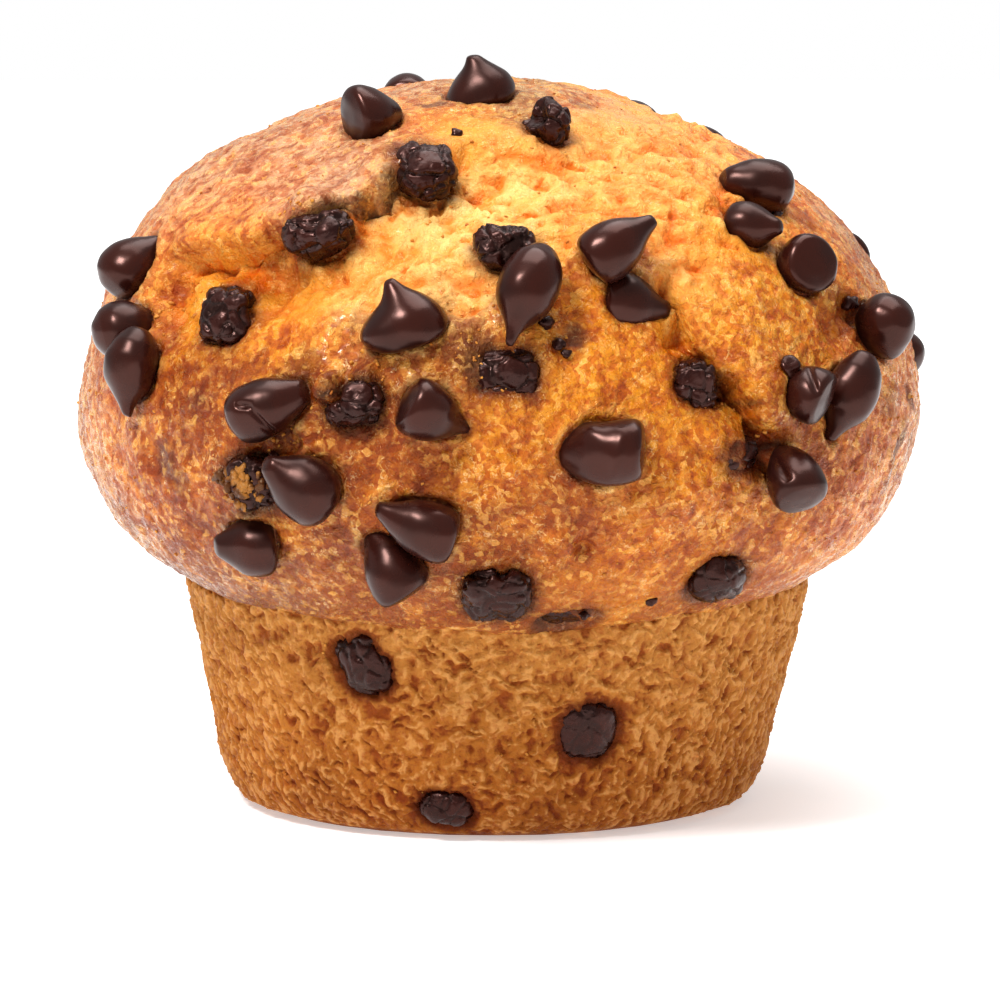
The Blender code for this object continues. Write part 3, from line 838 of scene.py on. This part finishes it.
def shapeStump(piece, toChips):
    points, normals = readSurface(piece)
    z = points[:, 2] / mm
    cut = cake["stump"]["cut"]
    offFloor = smoothStep(0.2, 1.6, z) * smoothStep(cut, cut - 0.8, z)
    radius = stump["middleRadius"]
    around = np.arctan2(points[:, 0] - crown["middle"].x, crown["middle"].y - points[:, 1]) * radius * mm
    warped = points + lumpVectors(points, 2.4, seed=41) * 1.1 * mm
    sway = 0.9 * lumps(points, 7.0, seed=48)
    weights = [bell(around / (radius * mm) - middle + sway, 0.7) + 1e-6 for _, middle in relief["slants"]]
    ridges = np.zeros(len(points))
    for (slant, _), weight in zip(relief["slants"], weights):
        lean = math.radians(slant)
        along = around * math.cos(lean) + warped[:, 2] * math.sin(lean)
        across = warped[:, 2] * math.cos(lean) - around * math.sin(lean) + (warped - points)[:, 0]
        laid = np.stack([0.45 * along, across, np.full(len(points), slant * mm)], 1)
        ridges += weight / sum(weights) * (0.28 - np.abs(lumps(laid, 1.25, seed=47, octaves=3)))
    near, second = cells(warped, 1.9, seed=42)
    flakes = smoothStep(0.0, 0.2, second - near)
    fine = lumps(points, 0.6, seed=43)
    pits = smoothStep(0.26, 0.55, lumps(warped, 1.4, seed=44))
    broad = lumps(points, 4.0, seed=45)
    detail = relief["flakes"] * (flakes - 0.6) + relief["ridges"] * ridges
    detail = detail - relief["pits"] * pits + relief["grain"] * fine
    bare = bell(toChips, 0.9)
    detail += bare * (0.45 * lumps(points, 1.1, seed=46) - 0.85)   # the cake draws back from its chips
    writePoints(piece, points + normals * ((detail + relief["swell"] * broad) * offFloor * mm)[:, None])
    # the crumb is darker round its chips too: painted shade in the gap, partly a stain
    return {"relief": detail, "stainAndContactShade": bare}


palette = {
    "paleCrumb": "F7C878",
    "sunny": "F8A958",
    "gold": "EE972D",
    "amber": "E08B13",
    "orange": "D27704",
    "toast": "944004",
    "brown": "984204",
    "umber": "6F3407",
    "tan": "CEA07C",
    "peach": "E99A59",
    "rose": "B35415",
    "lipTan": "94491C",
    "lipRose": "804325",
    "olive": "A08354",
    "stumpTop": "BD7F3B",
    "stumpMid": "AE6721",
    "stumpLow": "914E14",
    "rust": "8A3410",
    "plum": "5E302C",
    "dark": "3C190E",
}
crumbColours = {"paleCrumb": 1.0, "sunny": 0.9, "gold": 0.7, "amber": 0.35}   # how crumbly each colour is
# Broad colours of the crust, by azimuth, latitude and spread in mm, and of the
# stump, by azimuth, height and spread. Each is mirrored onto the back.
crustPaint = {
    "paleCrumb": [(0, 53, 5), (8, 56, 6), (-10, 44, 5), (-1, 45, 5), (-10, 36, 5), (-19, 28, 4)],
    "sunny": [
        (22, 55, 6), (32, 57, 6), (42, 56, 6), (30, 45, 5), (29, 30, 4), (42, 66, 7), (58, 68, 7),
        (75, 66, 8)],
    "gold": [
        (40, 38, 6), (43, 47, 4), (-20, 37, 4), (12, 44, 4), (20, 46, 4), (-30, 28, 4), (-18, 68, 5),
        (-5, 66, 5), (14, 62, 4), (70, 42, 6), (28, 66, 5)],
    "amber": [
        (40, 28, 6), (38, 20, 6), (30, 20, 5), (-50, 36, 4), (-50, 28, 5), (-50, 20, 4), (-31, 20, 4),
        (20, 12, 5), (11, 13, 5), (0, 4, 4), (30, 4, 5), (-60, 36, 5), (-14, 60, 4), (-30, 76, 5)],
    "orange": [
        (21, 20, 5), (68, 28, 6), (50, 20, 5), (10, 27, 4), (-60, 28, 4), (0, -6, 4), (30, -6, 4),
        (20, -16, 5), (30, -16, 5), (20, -28, 5), (20, -42, 6), (40, -28, 5), (10, -40, 4),
        (30, -40, 4)],
    "toast": [
        (19, 36, 3), (-20, 20, 4), (40, 12, 4), (-50, 12, 4), (-40, 10, 4), (-40, 3, 4), (0, -17, 5),
        (20, -6, 4), (10, -28, 5), (0, -28, 5), (40, -14, 5), (-50, 4, 5), (-30, -40, 5), (30, -28, 4),
        (50, -8, 5), (-52, -12, 5), (-36, 36, 3)],
    "brown": [
        (10, -8, 5), (-10, -6, 5), (-20, -8, 5), (12, -17, 4), (-22, -18, 6), (4, 20, 4), (-10, -40, 6),
        (-34, -24, 6), (-14, -28, 5), (-26, 12, 4), (-14, 14, 4), (-8, 12, 4)],
    "tan": [
        (-82, 44, 9), (-70, 52, 7), (-60, 58, 7), (-42, 54, 6), (-82, 8, 8), (82, 28, 7), (-34, 60, 5),
        (80, -20, 8), (-80, -20, 8), (60, 80, 7), (-70, 82, 6)],
    "peach": [
        (-66, 44, 6), (-56, 46, 6), (78, 4, 8), (62, -16, 7), (70, 8, 5), (-66, -6, 7), (62, -30, 7),
        (-78, 28, 6), (-52, 66, 5), (78, 48, 7), (60, -44, 6)],
    "rose": [
        (-62, 4, 6), (60, 0, 5), (54, -22, 6), (-58, -20, 6), (-50, -30, 6), (52, -38, 6), (-62, 14, 5),
        (62, 14, 5)],
    "lipTan": [(-24, -60, 6), (-8, -62, 6), (10, -60, 6), (28, -60, 6), (44, -58, 6), (60, -58, 6)],
    "lipRose": [(-38, -58, 6), (-50, -52, 6), (-62, -50, 7), (-75, -50, 8)],
    "olive": [(0, 84, 6), (16, 78, 4), (8, 72, 4), (24, 84, 5)],
}
stumpPaint = {
    "stumpTop": [(-60, 24, 10), (-30, 25, 8), (0, 25, 8), (30, 24, 9), (60, 24, 10)],
    "stumpMid": [(-60, 14, 10), (-30, 15, 9), (0, 15, 9), (30, 14, 9), (60, 14, 10)],
    "stumpLow": [(-60, 3, 10), (-30, 4, 9), (0, 4, 9), (30, 4, 9), (60, 3, 10)],
    "umber": [(-40, 5, 3), (12, 2, 3)],
}
# Marks with a harder edge: azimuth, latitude, width in mm, strength, colour
# The dark marks in the right crack's holes are painted shade; those along the ledge are partly a chocolate
# streak, partly painted shade in its crevice.
marks = [
    (-50, -5, 2.4, 0.8, "plum"), (-47, -12, 2.0, 0.7, "umber"), (-42, 0, 2.2, 0.5, "rust"),
    (-44, 7, 2.0, 0.4, "plum"), (37, -3, 2.2, 0.9, "rust"), (31, 0, 1.2, 0.7, "rust"),
    (26, 0, 1.6, 0.6, "rust"), (-38, 76, 1.6, 0.8, "plum"), (56, 76, 2.0, 0.7, "plum"),
    (-26, 64, 1.8, 0.7, "plum"), (16, 73, 2.4, 0.6, "umber"), (-46, -22, 4.0, 0.4, "brown"),
    (-4, 18, 3.6, 0.7, "umber"), (-20, 23, 2.0, 0.5, "rust"), (-28, 14, 3.0, 0.5, "umber"),
    (11, 21, 1.8, 0.8, "plum"), (58, 24, 3.2, 0.6, "umber"), (50, 34, 2.4, 0.6, "umber"),
    (66, 4, 2.6, 0.5, "umber"), (71, -2, 1.6, 0.7, "plum"), (75, 3, 1.6, 0.7, "plum"),
    (77, -9, 1.8, 0.8, "plum"), (-33, -20, 3.0, 0.5, "umber"), (44, -18, 2.4, 0.4, "umber"),
    (20, 34, 3.4, 0.4, "toast"), (12, -60, 3.0, 0.5, "rust"), (33, 11.5, 2.0, 0.9, "dark"),
    (36.5, 8, 1.1, 0.7, "dark"), (31, 16, 0.9, 0.5, "dark"), (38, 4, 1.2, 0.5, "umber"),
    (-29.5, 45, 1.5, 0.9, "dark"), (-27, 47.5, 1.5, 0.9, "dark"), (-25, 50, 1.5, 0.9, "dark"),
    (-23, 52, 1.4, 0.85, "dark"), (-28, 60, 2.0, 0.5, "umber"), (-22, 12, 1.8, 0.5, "umber"),
    (70, -6, 1.8, 0.8, "plum"), (69, -12, 1.6, 0.8, "plum"), (68, -18, 1.4, 0.6, "plum"),
]


def paintWeights(points, place, table):
    # the share of each named colour at each point
    ragged = points + lumpVectors(points, 5.0, seed=11, octaves=3) * 2.4 * mm
    shares = {}
    for name, spots in table.items():
        shares[name] = np.full(len(points), 1e-12)
        for azimuth, level, spread in spots:
            for turned in (azimuth, 180 - azimuth):
                gap = spotDistance(ragged, place, turned, level)
                shares[name] += bell(gap, 1.25 * spread) + 1e-7 / (gap + 1.0)
    total = sum(shares.values())
    return {name: share / total for name, share in shares.items()}


def mixColours(shares):
    return sum(share[:, None] * hexColour(palette[name]) for name, share in shares.items())


def paintMarks(points, colour):
    ragged = points + lumpVectors(points, 2.6, seed=51, octaves=3) * 1.0 * mm
    for azimuth, latitude, width, strength, name in marks:
        share = strength * smoothStep(1.3, 0.5, spotDistance(ragged, crownPoint, azimuth, latitude) / width)
        colour += (hexColour(palette[name]) - colour) * share[:, None]
    return colour


def crustMaterial():
    m = newMaterial("bakedCrust")
    where = objectPlace(m)
    height, crumb = readAttribute(m, "relief"), readAttribute(m, "crumb")
    patches = noiseAt(m, where, 5.5, detail=4, distortion=0.6, roughness=0.62)
    blots = noiseAt(m, where, 2.6, distortion=0.8)
    curls = noiseAt(m, where, 1.5, detail=5, distortion=0.5, roughness=0.6)
    winding = noiseAt(m, where, 0.9, detail=1, distortion=1.2)
    flecks = noiseAt(m, where, 0.6, distortion=0.4)
    shift = addNode(m, "TexNoise", Vector=where, Scale=1.0 / (2.2 * mm), Detail=2.0).outputs["Color"]
    bent = addNode(m, "VectorMath", {"operation": "MULTIPLY_ADD"})
    for socket, value in zip(bent.inputs, (shift, (1.5 * mm, 1.5 * mm, 1.5 * mm), where)):
        setSocket(m, socket, value)
    angular = addNode(m, "TexVoronoi", Vector=bent.outputs[0], Scale=1.0 / (0.75 * mm))
    flakes = calculate(m, "ADD", angular.outputs["Color"])   # each flake's own value
    offLip = remap(m, readAttribute(m, "lip"), 0.0, 1.0, 1.0, 0.5)
    skin = times(m, remap(m, crumb, 0.7, 0.1), offLip)
    toneWithPaintedReliefShade = layColours(
        m, readAttribute(m, "crustColour", "Color"),
        (patches, 0.50, 0.36, 0.62, skin, "C87434", "MULTIPLY"),
        (patches, 0.52, 0.38, 0.65, crumb, "F8B458", "MULTIPLY"),
        (patches, 0.52, 0.64, 0.42, None, "F8A236", "MIX"),
        (blots, 0.46, 0.34, 0.60, skin, "BE6428", "MULTIPLY"),
        # low places of the relief darker and more saturated, raised ones lighter: painted shade and painted
        # light that follow the relief
        (height, 0.05, -0.50, 0.85, skin, "B4521A", "MULTIPLY"),
        (height, -0.05, -0.80, 0.85, None, "F0A828", "MULTIPLY"),
        (height, 0.12, 0.60, 0.32, None, "FFDA84", "MIX"),
        # curls darker in their dips and lighter on their rises: partly mottling, partly painted shade and
        # painted light along the bump
        (curls, 0.50, 0.34, 0.48, skin, "C4641E", "MULTIPLY"),
        (curls, 0.54, 0.70, 0.30, None, "FFC468", "MIX"),
        (flecks, 0.46, 0.30, 0.35, skin, "B0571C", "MULTIPLY"),
        (flakes, 0.50, 0.25, 0.55, skin, "D07A2C", "MULTIPLY"))
    # bright flakes, where the blots allow, are painted glints
    paintedGlintFlakes = times(m, remap(m, flakes, 0.55, 0.80), remap(m, blots, 0.42, 0.60))
    withPaintedGlintFlakes = blend(m, times(m, paintedGlintFlakes, 0.34), toneWithPaintedReliefShade, rgb("FFBE5C"))
    beside = calculate(m, "ABSOLUTE", calculate(m, "SUBTRACT", winding, 0.5))   # short winding strokes, painted as glints, and glossy where the coat follows them
    glintStrokes = times(m, remap(m, beside, 0.040, 0.012), remap(m, flakes, 0.50, 0.60))
    glintStrokes = times(m, glintStrokes, remap(m, patches, 0.46, 0.58))
    withPaintedGlintStrokes = blend(m, times(m, glintStrokes, 0.34), withPaintedGlintFlakes, rgb("FFD080"))
    # the hollows and the crumb under the splits' edges are painted darker: painted shade
    hollowsWithPaintedShade = layColours(m, withPaintedGlintStrokes, (readAttribute(m, "hollowsWithPaintedShade"), 0.4, 1.8, 0.8, None, "C87420", "MULTIPLY"))
    grain = bumpOn(m, flecks, 0.7, 0.35 * mm)
    chips = bumpOn(m, flakes, 0.75, 0.7 * mm, below=grain)
    offCrumb = remap(m, crumb, 0.9, 0.2, 0.3, 1.0)
    wet = times(m, remap(m, glintStrokes, 0.1, 0.9, 0.05, 0.8), offCrumb)
    finishShader(m, {"Specular IOR Level": 0.52, "Specular Tint": (1.0, 0.72, 0.34, 1.0),
                     "Coat Roughness": 0.20, "Coat IOR": 1.5, **lightInside(0.12, 2.0, 0.8, 0.3)},
                 Base_Color=stainAndShadeNearChips(m, hollowsWithPaintedShade, 0.88, "702E12"),
                 Roughness=remap(m, flakes, 0.35, 0.65, 0.50, 0.17),
                 Normal=bumpOn(m, curls, 0.8, 1.2 * mm, below=chips), Coat_Weight=wet)
    return m


def stumpMaterial():
    m = newMaterial("bakedCrumb")
    where = objectPlace(m)
    height = readAttribute(m, "relief")
    curls = noiseAt(m, where, 1.2, detail=4, distortion=0.4, roughness=0.6)
    flecks = noiseAt(m, where, 0.5, distortion=0.4)
    toneWithPaintedReliefShade = layColours(
        m, readAttribute(m, "crustColour", "Color"),
        # low places of the relief darker, raised ones lighter: painted shade and painted light that follow
        # the relief
        (height, 0.00, -0.34, 0.75, None, "B8703A", "MULTIPLY"),
        (height, 0.04, 0.24, 0.34, None, "F0B46A", "MIX"),
        (curls, 0.50, 0.34, 0.40, None, "D08A48", "MULTIPLY"),
        (flecks, 0.46, 0.30, 0.35, None, "C08048", "MULTIPLY"))
    grain = bumpOn(m, flecks, 0.55, 0.35 * mm)
    finishShader(m, {"Specular IOR Level": 0.10, **lightInside(0.08, 1.6, 0.7, 0.3)},
                 Base_Color=stainAndShadeNearChips(m, toneWithPaintedReliefShade, 0.8, "6A3A24"),
                 Roughness=remap(m, flecks, 0.35, 0.65, 0.5, 0.8),
                 Normal=bumpOn(m, curls, 0.6, 0.7 * mm, below=grain))
    return m


def chocolateMaterial():
    m = newMaterial("chocolate")
    where = objectPlace(m)
    broad = noiseAt(m, where, 5.0)
    fine = noiseAt(m, where, 0.6)
    base = twoTone(m, broad, 0.35, 0.7, "2A0E09", "1B0806")
    finishShader(m, {"Specular IOR Level": 0.40, "Specular Tint": (1.0, 0.54, 0.46, 1.0)},
                 Base_Color=base, Roughness=remap(m, broad, 0.3, 0.7, 0.22, 0.32),
                 Normal=bumpOn(m, fine, 0.12, 0.08 * mm))
    return m


def meltedMaterial():
    m = newMaterial("meltedChocolate")
    where = objectPlace(m)
    broad = noiseAt(m, where, 3.0, detail=4)
    fine = noiseAt(m, where, 0.9, distortion=1.0)
    base = twoTone(m, broad, 0.35, 0.7, "260B07", "120404")
    # the cracks are painted near black, as painted shade in them; the light fine spots are a dusty bloom
    dustedAndCrackShaded = layColours(m, base,
                        (readAttribute(m, "cracks"), 0.2, 0.9, 0.85, None, "0A0403", "MIX"),
                        (fine, 0.62, 0.78, 0.2, None, "5A2C20", "MIX"))
    finishShader(m, {"Specular IOR Level": 0.36, "Specular Tint": (1.0, 0.54, 0.47, 1.0)},
                 Base_Color=dustedAndCrackShaded, Roughness=remap(m, fine, 0.3, 0.7, 0.18, 0.40),
                 Normal=bumpOn(m, fine, 0.25, 0.2 * mm))
    return m


def crumbMaterial():
    m = newMaterial("looseCrumb")
    where = objectPlace(m)
    shade = noiseAt(m, where, 3.0, detail=2)
    base = twoTone(m, shade, 0.3, 0.7, "A2581F", "D08A38")
    browner = twoTone(m, shade, 0.45, 0.6, "4E2812", "9A6228")
    toasted = blend(m, readAttribute(m, "toasted"), base, browner)
    fine = noiseAt(m, where, 0.4)
    finishShader(m, {"Specular IOR Level": 0.3, "Specular Tint": (1.0, 0.8, 0.5, 1.0),
                     **lightInside(0.1, 1.0, 0.5, 0.2)},
                 Base_Color=toasted, Roughness=0.35, Normal=bumpOn(m, fine, 0.5, 0.2 * mm))
    return m


# Loose crumbs, scattered evenly and thicker in a few places: azimuth, latitude,
# spread, how many, and the largest size in mm. The first patch is browner and
# lies over a melted chip too, the others on the crust alone.
crumbs = {
    "seed": 7, "even": 420, "onStump": 120, "size": (0.18, 0.50), "lift": 0.05,
    "dropFrom": 12.0,            # how far outside a crumb or a bit is let fall, in mm
    "patches": [(-34.5, -9, 4.6, 110, 1.5), (-30, 1, 5, 14, 0.6), (-1, 19, 5, 30, 0.5), (5, 21, 5, 24, 0.5),
                (-12, 48, 7, 20, 0.7), (-33, 42, 5, 16, 0.6), (34, 8, 3, 14, 0.7), (-57, 24, 6, 20, 0.9),
                (0, 30, 6, 12, 0.5), (36, 2, 3, 10, 0.7), (-19, 13, 4, 12, 0.7), (-26, -16, 6, 12, 0.6),
                (170, 28, 8, 40, 0.8), (140, 10, 8, 30, 0.7)],
}
# Bits of chocolate: azimuth, latitude, width and height in mm
chipBits = [
    (7, 23.5, 2.0, 1.5), (8.6, 19.5, 1.5, 1.9), (9.6, 18, 1.2, 1.2), (42, 13, 2.6, 2.6),
    (60, 41, 1.6, 1.4), (63, 22, 2.2, 1.8), (-13, 66, 1.3, 1.5), (12, 70, 1.4, 1.8), (-31, 0, 1.2, 1.0),
    (14, -62, 1.4, 0.9), (25, -57, 1.4, 0.8), (150, 44, 1.8, 1.5), (-160, 14, 2.0, 1.6),
    (120, -16, 1.6, 1.4), (-118, -30, 1.8, 1.4),
]


def surfaceAt(tree, place, azimuth, level):
    # the outermost surface at a place, met from outside
    point = place(azimuth, level)
    outward = point - crown["middle"]
    if place is stumpPoint:
        outward.z = 0.0
    outward.normalize()
    found = tree.ray_cast(point + outward * crumbs["dropFrom"] * mm, -outward, 2 * crumbs["dropFrom"] * mm)
    if found[0] is None:
        found = tree.find_nearest(point)
    return found[0], found[1]


def makeBit(size, seed, levels):
    deselectAll()
    bpy.ops.mesh.primitive_ico_sphere_add(subdivisions=levels, radius=0.5)
    bit = bpy.context.object
    for v in bit.data.vertices:
        swell = 1.0 + 0.55 * noise.noise(v.co * 2.2 + Vector((seed * 5.3, seed * 1.7, seed * 3.9)))
        v.co = Vector(value * extent * swell for value, extent in zip(v.co, size))
    return bit


def laidOn(point, normal, height, spin):
    turn = normal.to_track_quat("Z", "Y").to_matrix().to_4x4()
    return Matrix.Translation(point + normal * height) @ turn @ Matrix.Rotation(spin, 4, "Z")


def makeCrumbs(material, crownTree, chipTree, stumpTree):
    rng = random.Random(crumbs["seed"])
    smallest, largest = crumbs["size"]
    places = []
    for _ in range(crumbs["even"]):
        azimuth, latitude = rng.uniform(-180, 180), math.degrees(math.asin(rng.uniform(-0.7, 1.0)))
        places.append((crownTree, crownPoint, azimuth, latitude, largest))
    for _ in range(crumbs["onStump"]):
        places.append((stumpTree, stumpPoint, rng.uniform(-180, 180), rng.uniform(1.5, 26.0), largest))
    for order, (azimuth, latitude, spread, number, size) in enumerate(crumbs["patches"]):
        for _ in range(number):
            spot = rng.gauss(azimuth, spread * 0.6), rng.gauss(latitude, spread * 0.5)
            places.append((crownTree if order else chipTree, crownPoint, *spot, size))
    masters = [makeBit((1.0, rng.uniform(0.5, 0.9), rng.uniform(0.4, 0.8)), seed, 2) for seed in range(8)]
    shape = bmesh.new()
    for tree, place, azimuth, level, largest in places:
        point, normal = surfaceAt(tree, place, azimuth, level)
        size = rng.uniform(smallest, largest) * mm
        laid = laidOn(point, normal, crumbs["lift"] * mm, rng.uniform(0, math.tau)) @ Matrix.Scale(size, 4)
        before = len(shape.verts)
        shape.from_mesh(rng.choice(masters).data)
        shape.verts.ensure_lookup_table()
        bmesh.ops.transform(shape, verts=shape.verts[before:], matrix=laid)
    mesh = bpy.data.meshes.new("looseCrumbs")
    shape.to_mesh(mesh)
    shape.free()
    piece = bpy.data.objects.new("looseCrumbs", mesh)
    onChip = np.array([tree is chipTree for tree, *_ in places], float)
    writeValues(piece, "toasted", np.repeat(onChip, len(masters[0].data.vertices)))
    bpy.context.scene.collection.objects.link(piece)
    for master in masters:
        bpy.data.objects.remove(master)
    finishPiece(piece, material, "crust")
    print("crumbs made:", len(places))


def makeChipBits(material, tree):
    made = []
    for seed, (azimuth, latitude, width, height) in enumerate(chipBits):
        bit = makeBit((width * mm, height * mm, 0.8 * width * mm), seed + 20, 3)
        point, normal = surfaceAt(tree, crownPoint, azimuth, latitude)
        bit.data.transform(laidOn(point, normal, 0.12 * width * mm, seed * 0.7))
        made.append(bit)
    piece = joinAll(made, "chocolateBits")
    writeValues(piece, "cracks", np.zeros(len(piece.data.vertices)))
    finishPiece(piece, material, "melted_chocolate")
    print("chocolate bits made:", len(chipBits))


def finishCake(piece, colour, areas, triangles, material):
    writeColour(piece, "crustColour", colour)
    for name, values in areas.items():
        writeValues(piece, name, values)
    thinOut(piece, triangles)
    finishPiece(piece, material, "crust", "muffin")
    print(piece.name, "shaped and painted")


def makeCrown(material, dropTree, meltedTree):
    piece = makeCakePiece("muffinCrown", cake["crown"])
    points, reach = readPoints(piece), cake["chipReach"]
    shares = paintWeights(points, crownPoint, crustPaint)
    crumbShare = smoothStep(0.25, 0.8, sum(shares[name] * share for name, share in crumbColours.items()))
    areas = shapeCrown(piece, crumbShare, distanceTo(dropTree, points, reach),
                       distanceTo(meltedTree, points, reach))
    colour = paintMarks(points, mixColours(shares))
    finishCake(piece, colour, areas, cake["crown"]["triangles"], material)
    return piece


def makeStump(material, meltedTree):
    piece = makeCakePiece("muffinStump", cake["stump"])
    points = readPoints(piece)
    areas = shapeStump(piece, distanceTo(meltedTree, points, cake["chipReach"]))
    colour = mixColours(paintWeights(points, stumpPoint, stumpPaint))
    finishCake(piece, colour, areas, cake["stump"]["triangles"], material)
    return piece


meltedChocolate = meltedMaterial()
drops = makeDrops(chocolateMaterial())
meltedChips = makeMelted(meltedChocolate)
meltedTree = treeOf(meltedChips)
crownPiece = makeCrown(crustMaterial(), treeOf(drops), meltedTree)
stumpPiece = makeStump(stumpMaterial(), meltedTree)
crownTree = treeOf([crownPiece])
makeCrumbs(crumbMaterial(), crownTree, treeOf([crownPiece] + meltedChips), treeOf([stumpPiece]))
makeChipBits(meltedChocolate, crownTree)


stage = {
    "floorSize": 1.6,
    "floorColour": (0.90, 0.90, 0.90, 1.0),
    "floorGlow": 0.42,
    "skyStrength": 0.48,
    "cameraTilt": 8.5,
    "cameraDistance": 1.2,
    "cameraAim": (-0.13 * mm, 0.0, 35.8 * mm),
    "fieldWidth": 118.8 * mm,
    "sensorWidth": 36.0,
    # place, size and power of each light, and where they point
    "lights": {"keyLight": ((-0.35, -0.45, 0.75), 0.24, 8.5), "topLight": ((0.1, 0.15, 0.8), 0.6, 5.0)},
    "lightAim": (0.0, 0.0, 0.05),
}


def setStage():
    deselectAll()
    bpy.ops.mesh.primitive_plane_add(size=stage["floorSize"])
    floor = bpy.context.object
    floor.name = "floor"
    m = newMaterial("paleFloor")
    finishShader(m, {"Base Color": stage["floorColour"], "Roughness": 0.8, "Specular IOR Level": 0.2,
                     "Emission Color": (1.0, 1.0, 1.0, 1.0), "Emission Strength": stage["floorGlow"]})
    floor.data.materials.append(m)

    world = bpy.data.worlds.new("studio")
    bpy.context.scene.world = world
    world.use_nodes = True
    nodes, links = world.node_tree.nodes, world.node_tree.links
    background = nodes["Background"]
    background.inputs["Color"].default_value = (1.0, 1.0, 1.0, 1.0)
    seen = nodes.new("ShaderNodeMapRange")   # the backdrop looks white, but lights the muffin softly
    links.new(nodes.new("ShaderNodeLightPath").outputs["Is Camera Ray"], seen.inputs["Value"])
    seen.inputs["To Min"].default_value = stage["skyStrength"]
    links.new(seen.outputs["Result"], background.inputs["Strength"])

    for name, (place, size, power) in stage["lights"].items():
        deselectAll()
        bpy.ops.object.light_add(type="AREA", location=place)
        light = bpy.context.object
        light.name = name
        light.data.size = size
        light.data.energy = power
        aim = Vector(stage["lightAim"]) - light.location
        light.rotation_euler = aim.to_track_quat("-Z", "Y").to_euler()

    tilt = math.radians(stage["cameraTilt"])
    aim = Vector(stage["cameraAim"])
    away = Vector((0, -math.cos(tilt), math.sin(tilt))) * stage["cameraDistance"]
    deselectAll()
    bpy.ops.object.camera_add(location=aim + away)
    camera = bpy.context.object
    camera.rotation_euler = (-away).to_track_quat("-Z", "Y").to_euler()
    camera.data.sensor_width = stage["sensorWidth"]
    camera.data.lens = stage["sensorWidth"] * stage["cameraDistance"] / stage["fieldWidth"]
    camera.data.clip_start = 0.01
    bpy.context.scene.camera = camera
    bpy.context.scene.view_settings.view_transform = "Standard"


setStage()
print("stage set")
